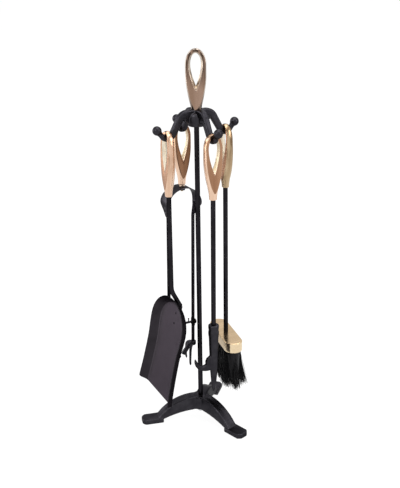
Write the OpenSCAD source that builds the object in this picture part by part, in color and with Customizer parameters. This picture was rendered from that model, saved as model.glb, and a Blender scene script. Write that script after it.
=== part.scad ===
// Fireplace tool set: a three-legged stand whose rack carries a shovel, a poker, a brush and tongs.
// Millimetres, +Z up. The origin is on the floor, on the axis of the column.
// The shovel hangs at -Y, the poker at +X, the brush at +Y and the tongs at -X.
// Each tool is drawn in its own frame: x outward, y along the loop, z up, 0 where it hangs.

/* [Base] */
// Distance from the column's axis to the end of a foot
foot_reach = 125.5; // [110:0.5:150]
// Length of a foot's flat pad
pad_len = 37.5; // [30:0.5:45]
// Width of a foot's flat pad
pad_w = 27; // [25:0.5:34]
// Thickness of a foot's flat pad
pad_t = 9; // [7:0.5:12]
// Corner cut of a foot's flat pad
pad_corner = 6; // [2:0.5:9]
// Width of a leg
leg_w = 24; // [20:0.5:28]
// Height of the middle of the base
base_h = 50; // [46:0.5:60]
// Height of the hollow under the middle of the base
arch_h = 20.5; // [19:0.5:24]
// Height of the hollow where it meets a pad
arch_end_h = 5; // [3:0.5:7]
// Diameter of the boss in the middle of the base
boss_d = 38; // [34:0.5:44]
// Direction of the first leg
leg_turn = 15; // [0:1:30]

/* [Column] */
// Diameter of the column
column_d = 10; // [8:0.5:14]
// Depth of the column's socket in the base
column_seat = 10; // [6:0.5:14]
// Diameter of the column's lower stud
foot_stud_d = 8; // [6:0.5:8]
// Length of lower stud that shows past the nut
foot_stud_out = 2; // [1:0.5:3]
// Outer diameter of the washer under the base
washer_d = 22; // [18:0.5:26]
// Thickness of the washer under the base
washer_t = 1.6; // [1:0.1:2]
// Width across the flats of the nut under the base
nut_w = 13; // [12:0.5:16]
// Thickness of the nut under the base
nut_t = 6.5; // [4:0.5:7]

/* [Rack] */
// Height of the rack hub's underside above the floor
rack_z = 626; // [560:1:720]
// Diameter of the rack's hub
hub_d = 31; // [28:0.5:36]
// Height of the rack's hub
hub_h = 24; // [22:0.5:28]
// Distance from the column's axis to where a tool hangs
hang_r = 62.5; // [58:0.5:72]
// Drop from the hub's underside to the middle of a hook's trough
hook_drop = 17.2; // [12:0.05:24]
// Radius of the trough's bend along its middle
trough_bend = 13; // [12.5:0.5:15]
// Thickness of a hook at its trough
hook_d = 10.5; // [10:0.5:12]
// Thickness of an arm where it leaves the hub
arm_d = 13.5; // [12:0.5:16]
// Distance from the column's axis to the top of an arm's bend
crest_r = 20; // [18:0.5:22]
// Radius of an arm's upper bend along its middle
crest_bend = 18; // [16:0.5:20]
// Slope of an arm below the horizontal
arm_slope = 60; // [56:1:64]
// Slope of a hook's tip above the horizontal
tip_slope = 50; // [46:1:52]
// Length of a hook's tip up to the middle of its ball
tip_len = 16.4; // [15:0.1:19]
// Thickness of a hook's tip at its ball
tip_d = 9.6; // [8:0.1:11]
// Diameter of the ball at a hook's end
ball_d = 15.5; // [13:0.5:16]

/* [Handles] */
// Length of a handle
handle_len = 127; // [120:1:150]
// Width of a handle's loop
loop_w = 38.5; // [36:0.5:44]
// Height of the loop's round crown
crown_h = 30; // [26:0.5:34]
// Distance from the top to where a handle starts to narrow
taper_from = 50; // [44:1:56]
// Distance from the top to the end of the narrowing
taper_to = 107; // [100:1:110]
// Width of a handle at the end of the narrowing
shoulder_w = 20.8; // [19:0.1:22]
// Diameter of a handle's neck
neck_d = 16.5; // [15:0.5:18]
// Thickness of the loop at its top
loop_t = 10.8; // [9:0.1:11.5]
// Thickness that the handle's two flats reach at its neck
flats_t = 19; // [18:0.1:22]
// Thickness of metal over the loop's hole
crown_t = 9.3; // [8:0.1:11]
// Width of the loop's hole
hole_w = 19.2; // [18.5:0.1:20]
// Height of the round top of the loop's hole
hole_crown = 20; // [16:0.5:24]
// Length of the hole's pointed lower part
hole_point = 38.7; // [34:0.1:42]
// Widening of the hole towards each face, per unit of depth
hole_flare = 0.5; // [0.3:0.05:0.6]
// Direction that the finial's loop faces
finial_turn = -28; // [-90:1:90]

/* [Shafts] */
// Diameter of a tool's shaft
shaft_d = 9.5; // [8:0.5:11]
// Diameter of the threaded studs in the handles
stud_d = 6; // [5:0.5:7]
// Length of thread inside a handle
stud_in = 16; // [10:0.5:22]

/* [Shovel] */
// Height of the bend of the shovel's shaft above the top of the pan's rim
bend_above = 24.5; // [15:0.5:40]
// Drop from the hook to the top of the pan's rim
pan_drop = 329.5; // [300:0.5:360]
// Distance that the top of the pan's rim lies inward of the shaft
pan_inset = 2.8; // [0:0.1:6]
// Tilt of the pan
pan_tilt = 13.6; // [10:0.1:18]
// Length of the pan
pan_len = 196; // [180:1:215]
// Greatest width of the pan's round end
pan_w = 144; // [130:1:156]
// Width of the pan at its waist
pan_waist = 134; // [124:1:142]
// Width of the pan at its lip
pan_lip = 147; // [134:1:156]
// Depth of the pan
pan_depth = 16; // [12:0.5:20]
// Distance that the pan's walls lean out
pan_flare = 10.4; // [6:0.1:14]
// Thickness of the pan's sheet
sheet_t = 1.5; // [1:0.1:2.5]
// Length of the flattened end of the shaft on the pan
tang_len = 56; // [50:1:70]
// Width of the flattened end of the shaft
tang_w = 16; // [13:0.5:20]
// Thickness of the flattened end of the shaft
tang_t = 4; // [3:0.5:5]
// Diameter of the pan's rivets
rivet_d = 5; // [4:0.5:6]
// Diameter of the heads of the pan's rivets
rivet_head_d = 10; // [8:0.5:12]

/* [Poker] */
// Drop from the hook to the top of the poker's head
poker_drop = 376; // [340:1:400]
// Length of the poker's head
poker_head_len = 152; // [140:1:170]
// Diameter of the poker's head at its collar
collar_d = 19.6; // [17:0.1:22]
// Reach of the poker's side hook from the shaft's axis
barb_reach = 42.5; // [38:0.5:50]
// Thickness of the poker's side hook
barb_t = 9; // [6:0.5:11]
// Depth of the shaft's socket in the poker's head
socket_depth = 22; // [14:0.5:30]
// Lean of the hanging poker
poker_lean = -0.3; // [-1:0.1:1]

/* [Brush] */
// Drop from the hook to the top of the brush's cover
brush_drop = 432.5; // [400:0.5:450]
// Length of the brush's cover
cover_len = 126; // [110:1:140]
// Width of the brush's cover
cover_w = 36; // [33:0.5:44]
// Height of the brush's cover
cover_h = 21; // [18:0.5:28]
// Thickness of the cover's sheet
cover_t = 1.2; // [0.8:0.1:1.6]
// Thickness of the wooden block inside the cover
block_t = 15; // [12:0.5:16]
// Turn of the brush's head on its shaft
brush_turn = -11; // [-30:1:30]
// Length of bristle below the cover
bristle_out = 84; // [60:1:90]
// Diameter of a tuft of bristles
tuft_d = 8; // [6:0.5:8.5]
// Distance between tufts
tuft_pitch = 9.6; // [9.2:0.1:10]
// Depth of a tuft's hole in the block
tuft_in = 8; // [6:0.5:9]

/* [Tongs] */
// Lean of the hanging tongs
tongs_lean = 1; // [-1:0.1:1.5]
// Height of the brass spacer under the tongs' handle
spacer_h = 3.2; // [2:0.1:5]
// Diameter of the brass spacer
spacer_d = 11; // [9:0.5:14]
// Radius of the spring bow along its middle
bow_r = 31.2; // [28:0.1:36]
// Thickness of the spring bow
bow_t = 1.6; // [1.2:0.1:2.2]
// Width of the spring bow
bow_w = 25; // [20:0.5:30]
// Angle past the side at which the bow turns straight
bow_past = 7.5; // [6:0.5:12]
// Length of the bow's straight end
tail_len = 25; // [23:0.5:30]
// Width of the bow's straight end at its tip
tail_w = 10.5; // [9:0.5:14]
// Diameter of a leg of the tongs
leg_d = 7; // [6:0.5:8]
// Thickness of a leg's flattened top
leg_tang_t = 3; // [2:0.5:4]
// Diameter of the tongs' rivets
small_rivet_d = 3; // [2.5:0.5:4]
// Diameter of the heads of the tongs' rivets
small_head_d = 5.6; // [5:0.1:7]
// Drop from the hook to the palm of a claw
claw_drop = 469.5; // [440:0.5:490]
// Diameter of a claw's palm
palm_d = 13; // [11:0.5:16]
// Height of a claw's palm
palm_h = 10; // [8:0.5:14]
// Turn of a claw on its leg
claw_turn = 6; // [0:1:8]
// Spread of the side toes from the middle toe
toe_spread = 54; // [45:1:60]
// Bend radius of the middle toe
mid_toe_r = 16; // [13:0.5:16.5]
// Length of the middle toe past its bend
mid_toe_len = 10; // [5:0.5:16]
// Bend radius of the side toes
side_toe_r = 20; // [16:0.5:21]
// Length of the side toes past their bend
side_toe_len = 28; // [15:0.5:34]
// Width of a toe
toe_w = 8; // [6:0.5:9]
// Thickness of a toe
toe_t = 3.2; // [2.5:0.1:4]
// Drop from the hook to the guide bar
bar_drop = 424.5; // [400:0.5:440]
// Diameter of the guide bar
bar_d = 4.5; // [4:0.5:5]
// Distance from the right leg to the stop peg on the guide bar
peg_off = 10.8; // [8:0.1:10.8]

/* [Fits] */
// Gap between a loop and the trough that it hangs in
seat_gap = 0.3; // [0.2:0.05:0.5]
// Radial clearance of a thread or a pressed pin in its hole
pin_gap = 0.05; // [0.02:0.01:0.1]
// Radial clearance of a loose hole
hole_gap = 0.2; // [0.1:0.05:0.4]

/* [Hidden] */
$fn = 64;

iron = [0.13, 0.13, 0.14];
steel = [0.55, 0.56, 0.58];
brass = [0.85, 0.66, 0.50];
gold = [0.90, 0.78, 0.52];
wood = [0.62, 0.45, 0.28];
hair = [0.06, 0.06, 0.06];

shovel_side = 270;
poker_side = 0;
brush_side = 90;
tongs_side = 180;
cut = 1;                                   // overshoot of a cutting tool past a face
edge = 1.2;                                // bevel on small turned edges
root = 1.5;                                // depth that a thinner round runs into the thicker one it grows from
lap = 0.5;                                 // overlap of a straight bar with a bent one
step = 0.2;                                // difference of their diameters, so that no faces coincide

trough_z = rack_z - hook_drop;             // middle of a hook's trough
seat_z = trough_z + hook_d / 2 + seat_gap; // top of a hanging loop's hole
hub_seat_z = rack_z + hub_h - 6.5;         // floor of the finial's socket
leg_top_r = 98;                            // radius of a leg's arched back
leg_top_at = 15;                           // distance at which the arched back is level
boss_rise = 0.5;                           // height of the boss above the legs' backs
head_t = 0.45;                             // height of a rivet's head as a share of its radius

function arc(cx, cy, r, from, to, steps) =
    [for (i = [0 : steps]) let (a = from + (to - from) * i / steps) [cx + r * cos(a), cy + r * sin(a)]];

// A closed solid through rings of points, which all have the same number of points.
module loft(rings) {
    count = len(rings[0]);
    last = len(rings) - 1;
    points = [for (ring = rings) each ring];
    sides = [for (k = [0 : last - 1], i = [0 : count - 1])
        let (j = (i + 1) % count, low = k * count, high = low + count)
        each [[low + i, high + j, high + i], [low + i, low + j, high + j]]];
    first_cap = [for (i = [count - 1 : -1 : 0]) i];
    last_cap = [for (i = [0 : count - 1]) last * count + i];
    polyhedron(points, concat(sides, [first_cap, last_cap]), convexity = 4);
}

// Places a tool that is drawn in its own frame at its hook.
module hung(side, lean = 0) {
    rotate([0, 0, side])
        translate([hang_r, 0, seat_z])
            rotate([lean, 0, 0])
                children();
}

// ---- base ----

arch_from = washer_d / 2 + 1;              // the arch is level over the washer
arch_run = foot_reach - pad_len - arch_from;
arch_r = (arch_run ^ 2 + (arch_h - arch_end_h) ^ 2) / (2 * (arch_h - arch_end_h));

module leg_side() {
    back_z = base_h - boss_rise - leg_top_r;
    back_end = asin((pad_t - back_z) / leg_top_r);
    arch_end = acos((arch_run - 2) / arch_r);
    polygon(concat(
        [[0, base_h - 4 * boss_rise]],
        arc(leg_top_at, back_z, leg_top_r, 90, back_end, 14),
        [[foot_reach - pad_corner, pad_t], [foot_reach - pad_corner, 0], [foot_reach - pad_len, 0]],
        arc(arch_from, arch_h - arch_r, arch_r, arch_end, 90, 8),
        [[0, arch_h]]));
}

module pad() {
    linear_extrude(pad_t)
        polygon([[foot_reach - pad_len, -pad_w / 2], [foot_reach - pad_corner, -pad_w / 2],
            [foot_reach, -pad_w / 2 + pad_corner], [foot_reach, pad_w / 2 - pad_corner],
            [foot_reach - pad_corner, pad_w / 2], [foot_reach - pad_len, pad_w / 2]]);
}

module base_casting() {
    color(iron)
        difference() {
            union() {
                for (k = [0 : 2])
                    rotate([0, 0, leg_turn + 120 * k]) {
                        translate([0, leg_w / 2, 0])
                            rotate([90, 0, 0])
                                linear_extrude(leg_w)
                                    leg_side();
                        pad();
                    }
                translate([0, 0, arch_h])
                    cylinder(d = boss_d, h = base_h - arch_h);
            }
            translate([0, 0, base_h - column_seat])
                cylinder(d = column_d + 2 * pin_gap, h = column_seat + cut);
            translate([0, 0, arch_h - cut])
                cylinder(d = foot_stud_d + 2 * hole_gap, h = base_h);
        }
}

module base_washer() {
    color(steel)
        translate([0, 0, arch_h - washer_t])
            difference() {
                cylinder(d = washer_d, h = washer_t);
                translate([0, 0, -cut])
                    cylinder(d = foot_stud_d + 2 * hole_gap, h = washer_t + 2 * cut);
            }
}

module base_nut() {
    color(steel)
        translate([0, 0, arch_h - washer_t - nut_t])
            difference() {
                cylinder(d = nut_w / cos(30), h = nut_t, $fn = 6);
                translate([0, 0, -cut])
                    cylinder(d = foot_stud_d + 2 * pin_gap, h = nut_t + 2 * cut);
            }
}

module column() {
    stud_from = arch_h - washer_t - nut_t - foot_stud_out;
    color(iron) {
        translate([0, 0, stud_from])
            cylinder(d = foot_stud_d, h = base_h - column_seat - stud_from + root);
        translate([0, 0, base_h - column_seat])
            cylinder(d = column_d, h = rack_z - base_h + column_seat);
        translate([0, 0, rack_z - root])
            cylinder(d = stud_d, h = hub_seat_z + stud_in - rack_z + root);
    }
}

// ---- rack ----

trough_at = [hang_r, trough_z + trough_bend];
arm_low = trough_at - trough_bend * [sin(arm_slope), cos(arm_slope)];
arm_high_r = crest_r + crest_bend * sin(arm_slope);
arm_run = (arm_low[0] - arm_high_r) / cos(arm_slope);
arm_high = [arm_high_r, arm_low[1] + arm_run * sin(arm_slope)];
crest_at = arm_high - crest_bend * [sin(arm_slope), cos(arm_slope)];
tip_low = trough_at + trough_bend * [sin(tip_slope), -cos(tip_slope)];
ball_at = tip_low + tip_len * [cos(tip_slope), sin(tip_slope)];

// A round bar bent to a circle in the xz plane, from one angle to another.
module bent_bar(middle, bend, d, from, to) {
    translate([middle[0], 0, middle[1]])
        rotate([90, 0, 0])
            rotate([0, 0, from])
                rotate_extrude(angle = to - from)
                    translate([bend, 0])
                        circle(d = d);
}

// A round bar in the xz plane, from a point along a slope, that laps into the bends at its ends.
module straight_bar(from, slope, length, d1, d2, lap2 = lap) {
    translate([from[0], 0, from[1]])
        rotate([0, 90 - slope, 0])
            translate([0, 0, -lap])
                cylinder(d1 = d1 - step, d2 = d2 - step, h = length + lap + lap2);
}

module arm() {
    straight_bar([hub_d / 4, crest_at[1] + crest_bend], 0, crest_r - hub_d / 4, arm_d, arm_d);
    bent_bar(crest_at, crest_bend, arm_d, 90 - arm_slope, 90);
    straight_bar(arm_high, -arm_slope, arm_run, arm_d, hook_d);
    bent_bar(trough_at, trough_bend, hook_d, 270 - arm_slope, 270 + tip_slope);
    straight_bar(tip_low, tip_slope, tip_len, hook_d, tip_d, 0);
    translate([ball_at[0], 0, ball_at[1]])
        sphere(d = ball_d);
}

module rack_casting() {
    socket_d = shoulder_w;
    color(iron)
        difference() {
            union() {
                for (side = [shovel_side, poker_side, brush_side, tongs_side])
                    rotate([0, 0, side])
                        arm();
                translate([0, 0, rack_z])
                    rotate_extrude()
                        polygon([[0, 0], [hub_d / 2 - 3, 0], [hub_d / 2, 4], [hub_d / 2, hub_h - 5],
                            [hub_d / 2 - 4, hub_h], [0, hub_h]]);
            }
            translate([0, 0, hub_seat_z])
                cylinder(d = socket_d, h = hub_h + arm_d);
            translate([0, 0, rack_z - cut])
                cylinder(d = stud_d + 2 * hole_gap, h = hub_h + 2 * cut);
        }
}

// ---- handles ----

// Half width of a handle at a distance below its top.
function handle_half(d) =
    d < crown_h ? loop_w / 2 * sqrt(1 - (1 - d / crown_h) ^ 2)
    : d < taper_from ? loop_w / 2
    : d < taper_to ? loop_w / 2 - (loop_w - shoulder_w) / 2 * ((d - taper_from) / (taper_to - taper_from)) ^ 1.6
    : neck_d / 2 + (shoulder_w - neck_d) / 2 * (1 - (d - taper_to) / (handle_len - taper_to)) ^ 2;

handle_steps = concat(
    [for (a = [10 : 10 : 80]) crown_h * (1 - cos(a))],
    [crown_h, taper_from],
    [for (i = [1 : 7]) taper_from + (taper_to - taper_from) * i / 7],
    [for (i = [1 : 3]) taper_to + (handle_len - edge - taper_to) * i / 3]);

// Half width of the loop's hole at a distance below the handle's top, grown by g on every side.
function hole_half(d, g) =
    let (crown = hole_crown + g, level = crown_t + hole_crown, point = hole_point + 2.56 * g)
    d < level ? (hole_w / 2 + g) * sqrt(max(0, 1 - ((level - d) / crown) ^ 2))
    : (hole_w / 2 + g) * (1 - min(1, (d - level) / point) ^ 1.7);

function hole_ring(x, g) =
    let (level = crown_t + hole_crown, crown = hole_crown + g, point = hole_point + 2.56 * g,
        depths = concat([for (a = [8 : 8 : 80]) level - crown * cos(a)],
            [for (i = [0 : 6]) level + point * i / 7]))
    concat([[x, 0, crown - level]],
        [for (d = depths) [x, hole_half(d, g), -d]],
        [[x, 0, -level - point]],
        [for (i = [len(depths) - 1 : -1 : 0]) [x, -hole_half(depths[i], g), -depths[i]]]);

// A handle with the top of its loop's hole at the origin.
module handle() {
    reach = loop_w / 2;
    color(brass)
        translate([0, 0, crown_t])
            difference() {
                intersection() {
                    rotate_extrude()
                        polygon(concat([[0, 0]],
                            [for (d = handle_steps) [handle_half(d), -d]],
                            [[neck_d / 2 - edge, -handle_len], [0, -handle_len]]));
                    translate([0, reach, 0])
                        rotate([90, 0, 0])
                            linear_extrude(2 * reach)
                                polygon([[-loop_t / 2, 0], [loop_t / 2, 0],
                                    [flats_t / 2, -handle_len], [-flats_t / 2, -handle_len]]);
                }
                loft([for (k = [-1 : 1]) hole_ring(k * flats_t / 2, abs(k) * flats_t / 2 * hole_flare)]);
                translate([0, 0, -handle_len - cut])
                    cylinder(d = stud_d + 2 * pin_gap, h = stud_in + 2 + cut);
            }
}

neck_z = crown_t - handle_len;             // underside of a hanging tool's handle

module finial_handle() {
    translate([0, 0, hub_seat_z - neck_z])
        rotate([0, 0, finial_turn])
            handle();
}

module shovel_handle() hung(shovel_side) handle();
module poker_handle() hung(poker_side, poker_lean) handle();
module brush_handle() hung(brush_side) handle();
module tongs_handle() hung(tongs_side, tongs_lean) handle();

// A straight shaft with its threaded stud, from a handle down to a height.
module straight_shaft(to) {
    translate([0, 0, neck_z - root])
        cylinder(d = stud_d, h = stud_in + root);
    translate([0, 0, to])
        cylinder(d = shaft_d, h = neck_z - to);
}

// ---- shovel ----

// A point in the shaft's plane, from its distance down the pan and its height above the rim's plane.
function pan_point(u, n) =
    [-pan_inset + u * sin(pan_tilt) + n * cos(pan_tilt), -pan_drop - u * cos(pan_tilt) + n * sin(pan_tilt)];

rim_start = 4.5;                           // bare stretch above the rim's round end
round_len = pan_w / 2 * 0.8;               // length of the pan's round end
waist_at = rim_start + round_len + 53;
pan_back = -pan_depth - sheet_t;           // back of the pan's floor
bend_r = 35;                               // bend radius of the shovel's shaft
tang_from = 15;                            // start of the flattened end down the pan
rivets_at = [tang_from + 17, tang_from + 39];

function side_half(u) =
    let (wide = rim_start + round_len)
    u < waist_at ? pan_waist / 2 + (pan_w - pan_waist) / 2 * (1 + cos(180 * (u - wide) / (waist_at - wide))) / 2
    : pan_waist / 2 + (pan_lip - pan_waist) / 2 * ((u - waist_at) / (pan_len - waist_at)) ^ 2;

// The pan's outline, moved in by a distance and cut off at an end.
function pan_ring(n, in, end) =
    let (wide = rim_start + round_len,
        half = concat(
            [for (a = [10 : 10 : 80]) [wide - (round_len - in) * cos(a), (pan_w / 2 - in) * sin(a)]],
            [for (i = [0 : 5]) let (u = wide + (end - wide) * i / 5) [u, side_half(min(u, pan_len)) - in]]))
    concat([[n, 0, -rim_start - in]],
        [for (p = half) [n, p[1], -p[0]]],
        [for (i = [len(half) - 1 : -1 : 0]) [n, -half[i][1], -half[i][0]]]);

module in_pan() {
    translate([-pan_inset, 0, -pan_drop])
        rotate([0, -pan_tilt, 0])
            children();
}

// A rivet through plates between two depths, with a domed head on each side.
module rivet(d, head_d, from, to) {
    dome = head_d / 2 * head_t;
    ball = (head_d ^ 2 / 4 + dome ^ 2) / (2 * dome);
    rotate([0, 90, 0]) {
        translate([0, 0, from])
            cylinder(d = d, h = to - from);
        for (end = [[from, -1], [to, 1]])
            intersection() {
                translate([0, 0, end[0] - end[1] * (ball - dome)])
                    sphere(r = ball);
                translate([0, 0, end[0] + end[1] * dome / 2])
                    cylinder(d = head_d + cut, h = dome, center = true);
            }
    }
}

module shovel_shaft() {
    bend_at = [-bend_r, -pan_drop + bend_above];
    tang_top = pan_point(tang_from, pan_back - tang_t / 2);
    to_tang = tang_top - bend_at;
    rod_tilt = atan2(to_tang[1], to_tang[0]) + acos(bend_r / norm(to_tang));
    rod_top = bend_at + bend_r * [cos(rod_tilt), sin(rod_tilt)];
    wall_gap = 0.5;
    color(iron)
        hung(shovel_side)
            difference() {
                union() {
                    straight_shaft(bend_at[1] - lap);
                    bent_bar(bend_at, bend_r, shaft_d + step, rod_tilt, 0);
                    straight_bar(rod_top, rod_tilt - 90, norm(tang_top - rod_top), shaft_d, shaft_d, 0);
                    translate([tang_top[0], 0, tang_top[1]])
                        sphere(d = shaft_d + step);
                    in_pan()
                        translate([pan_back - tang_t, -tang_w / 2, -tang_from - tang_len])
                            cube([tang_t, tang_w, tang_len]);
                }
                in_pan() {
                    translate([0, tang_w, 0])
                        rotate([90, 0, 0])
                            linear_extrude(2 * tang_w)
                                polygon([[pan_back, wall_gap - rim_start - pan_flare], [0, wall_gap - rim_start],
                                    [0, -tang_from - 2 * tang_len], [pan_back, -tang_from - 2 * tang_len]]);
                    for (u = rivets_at)
                        translate([pan_back - tang_t - cut, 0, -u])
                            rotate([0, 90, 0])
                                cylinder(d = rivet_d + 2 * pin_gap, h = tang_t + 2 * cut);
                }
            }
}

module shovel_pan() {
    corner = 13;                           // cut-away of the walls beside the lip
    color(iron)
        hung(shovel_side)
            in_pan()
                difference() {
                    loft([pan_ring(pan_back, pan_flare, pan_len), pan_ring(0, 0, pan_len)]);
                    loft([pan_ring(-pan_depth, pan_flare + sheet_t, pan_len + 6),
                        pan_ring(cut, sheet_t - pan_flare * cut / pan_depth, pan_len + 6)]);
                    translate([-pan_depth, -pan_lip, -pan_len - cut])
                        rotate([0, -atan(pan_depth / corner), 0])
                            translate([0, 0, -2 * corner])
                                cube([3 * pan_depth, 2 * pan_lip, 2 * corner]);
                    for (u = rivets_at)
                        translate([pan_back - cut, 0, -u])
                            rotate([0, 90, 0])
                                cylinder(d = rivet_d + 2 * pin_gap, h = sheet_t + 2 * cut);
                }
}

module shovel_rivets() {
    color(steel)
        hung(shovel_side)
            in_pan()
                for (u = rivets_at)
                    translate([0, 0, -u])
                        rivet(rivet_d, rivet_head_d, pan_back - tang_t, -pan_depth);
}

// ---- poker ----

module poker_shaft() {
    color(iron)
        hung(poker_side, poker_lean)
            straight_shaft(-poker_drop - socket_depth);
}

module poker_head() {
    r = collar_d / 2;
    l = poker_head_len;
    reach = barb_reach;
    color(iron)
        hung(poker_side, poker_lean)
            translate([0, 0, -poker_drop])
                difference() {
                    union() {
                        rotate_extrude()
                            polygon([[0, 0], [r - edge, 0], [r - edge / 2, -2], [r, -l * 0.1], [r - 1, -l * 0.16],
                                [r * 0.87, -l * 0.27], [r * 0.75, -l * 0.44], [r * 0.6, -l * 0.7],
                                [r * 0.36, -l * 0.88], [0.8, -l], [0, -l]]);
                        translate([-barb_t / 2, 0, 0])
                            rotate([90, 0, 90])
                                linear_extrude(barb_t)
                                    polygon([[0, -68], [-6, -70], [-11, -76], [-17, -82], [-reach * 0.6, -85],
                                        [-reach * 0.76, -81.5], [-reach * 0.88, -75], [-reach, -66],
                                        [-reach - 0.6, -76], [-reach + 1.5, -83], [-reach * 0.86, -89.5],
                                        [-reach * 0.6, -96], [-reach * 0.36, -100], [-7, -102.5], [0, -106]]);
                    }
                    translate([0, 0, -socket_depth])
                        cylinder(d = shaft_d + 2 * pin_gap, h = socket_depth + cut);
                }
}

// ---- brush ----

module stadium(length, width, height) {
    linear_extrude(height) {
        square([width, length - width], center = true);
        for (s = [-1, 1])
            translate([0, s * (length - width) / 2])
                circle(d = width);
    }
}

module in_brush() {
    hung(brush_side)
        translate([0, 0, -brush_drop])
            rotate([0, 0, brush_turn])
                children();
}

lock_t = 4;                                // thickness of the nut inside the brush
lock_w = 11;                               // width of that nut across its flats

module brush_shaft() {
    end = cover_t + lock_t + 1;
    color(iron)
        hung(brush_side) {
            straight_shaft(-brush_drop);
            translate([0, 0, -brush_drop - end])
                cylinder(d = stud_d, h = end + root);
        }
}

module brush_cover() {
    color(gold)
        in_brush()
            difference() {
                translate([0, 0, -cover_h])
                    stadium(cover_len, cover_w, cover_h);
                translate([0, 0, -cover_h - cut])
                    stadium(cover_len - 2 * cover_t, cover_w - 2 * cover_t, cover_h - cover_t + cut);
                translate([0, 0, -cover_t - cut])
                    cylinder(d = stud_d + 2 * hole_gap, h = cover_t + 2 * cut);
            }
}

tuft_rows = [-1 : 1];
tuft_count = floor((cover_len - cover_w) / 2 / tuft_pitch);

// One child at each tuft's place; the outer rows keep inside the cover's round ends.
module at_tufts() {
    for (row = tuft_rows, i = [-tuft_count - 1 : tuft_count + 1])
        if (row == 0 || abs(i) <= tuft_count)
            translate([row * tuft_pitch, i * tuft_pitch, 0])
                children();
}

module brush_block() {
    side_gap = cover_t + 0.3;
    color(wood)
        in_brush()
            difference() {
                translate([0, 0, -cover_t - block_t])
                    stadium(cover_len - 2 * side_gap, cover_w - 2 * side_gap, block_t);
                translate([0, 0, -cover_t - lock_t - 1.5])
                    cylinder(d = lock_w / cos(30) + 1, h = lock_t + 1.5 + cut);
                translate([0, 0, -cover_t - block_t - cut])
                    at_tufts()
                        cylinder(d = tuft_d + 2 * pin_gap, h = tuft_in + cut);
            }
}

module brush_nut() {
    color(steel)
        in_brush()
            translate([0, 0, -cover_t - lock_t])
                difference() {
                    cylinder(d = lock_w / cos(30), h = lock_t, $fn = 6);
                    translate([0, 0, -cut])
                        cylinder(d = stud_d + 2 * pin_gap, h = lock_t + 2 * cut);
                }
}

module brush_bristles() {
    roots = cover_t + block_t - tuft_in;
    color(hair)
        in_brush()
            translate([0, 0, -cover_h - bristle_out])
                at_tufts()
                    cylinder(d = tuft_d, h = cover_h + bristle_out - roots - seat_gap);
}

// ---- tongs ----

bow_z = neck_z - spacer_h - bow_t / 2 - bow_r;
tail_at = [bow_r * cos(bow_past), bow_z - bow_r * sin(bow_past)];
tang_in = bow_t / 2 + leg_tang_t / 2;      // a leg's tang lies inside the bow's straight end
tang_reach = tail_len + leg_d / 2 + 0.5;    // the round part of a leg starts below the bow's end
leg_y = tail_at[0] - tang_in * cos(bow_past) - tang_reach * sin(bow_past);
leg_z = tail_at[1] + tang_in * sin(bow_past) - tang_reach * cos(bow_past);
tongs_rivets_at = [6, 17];
rod_end = 9;                               // tenon of a leg inside its claw
tenon_d = 5;
peg_d = 2.4;
eye_t = 4;                                 // thickness of the right leg's eye along the bar
bar_head_t = 2.2;

module tongs() hung(tongs_side, tongs_lean) children();

module tongs_spacer() {
    color(brass)
        tongs()
            translate([0, 0, neck_z - spacer_h])
                difference() {
                    cylinder(d = spacer_d, h = spacer_h);
                    translate([0, 0, -cut])
                        cylinder(d = stud_d + 2 * hole_gap, h = spacer_h + 2 * cut);
                }
}

bolt_z = bow_z + sqrt((bow_r - bow_t / 2) ^ 2 - spacer_d ^ 2 / 4) - 0.05;

module tongs_bolt() {
    color(steel)
        tongs() {
            translate([0, 0, bolt_z - 3])
                cylinder(d = spacer_d, h = 3);
            translate([0, 0, bolt_z - root])
                cylinder(d = stud_d, h = neck_z + stud_in - 1 - bolt_z + root);
        }
}

// Places children on the outside of the bow's straight end, on the side s, with z down its length.
module on_tail(s) {
    translate([0, s * tail_at[0], tail_at[1]])
        rotate([-s * bow_past, 0, 0])
            children();
}

module tongs_bow() {
    color(iron)
        tongs()
            difference() {
                union() {
                    translate([0, 0, bow_z])
                        rotate([90, 0, 90])
                            rotate([0, 0, -bow_past])
                                rotate_extrude(angle = 180 + 2 * bow_past)
                                    translate([bow_r - bow_t / 2, -bow_w / 2])
                                        square([bow_t, bow_w]);
                    for (s = [-1, 1])
                        on_tail(s)
                            translate([0, bow_t / 2 - step / 4, 0])
                                rotate([90, 0, 0])
                                    linear_extrude(bow_t - step / 2)
                                        polygon([[-bow_w / 2, lap], [bow_w / 2, lap],
                                            [tail_w / 2, -tail_len], [-tail_w / 2, -tail_len]]);
                }
                translate([0, 0, bow_z])
                    cylinder(d = stud_d + 2 * hole_gap, h = bow_r + bow_t);
                for (s = [-1, 1], z = tongs_rivets_at)
                    on_tail(s)
                        translate([0, 0, -z])
                            rotate([90, 0, 0])
                                cylinder(d = small_rivet_d + 2 * hole_gap, h = 4 * bow_t, center = true);
            }
}

// A leg of the tongs: a flattened top riveted inside the bow, a round rod, and a tenon in its claw.
module tongs_leg(s) {
    on_tail(s)
        difference() {
            translate([-tail_w / 2 + 0.5, -s * tang_in - leg_tang_t / 2, -tang_reach])
                cube([tail_w - 1, leg_tang_t, tang_reach - 1]);
            for (z = tongs_rivets_at)
                translate([0, -s * tang_in, -z])
                    rotate([90, 0, 0])
                        cylinder(d = small_rivet_d + 2 * pin_gap, h = 2 * leg_tang_t, center = true);
        }
    translate([0, s * leg_y, leg_z])
        sphere(d = leg_d);
    translate([0, s * leg_y, -claw_drop])
        cylinder(d = leg_d, h = leg_z + claw_drop);
    translate([0, s * leg_y, -claw_drop - rod_end])
        cylinder(d = tenon_d, h = rod_end + root);
}

module left_leg() {
    color(iron)
        tongs()
            difference() {
                tongs_leg(1);
                translate([0, leg_y, -bar_drop])
                    rotate([90, 0, 0])
                        cylinder(d = bar_d + 2 * pin_gap, h = 2 * leg_d, center = true);
            }
}

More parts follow.
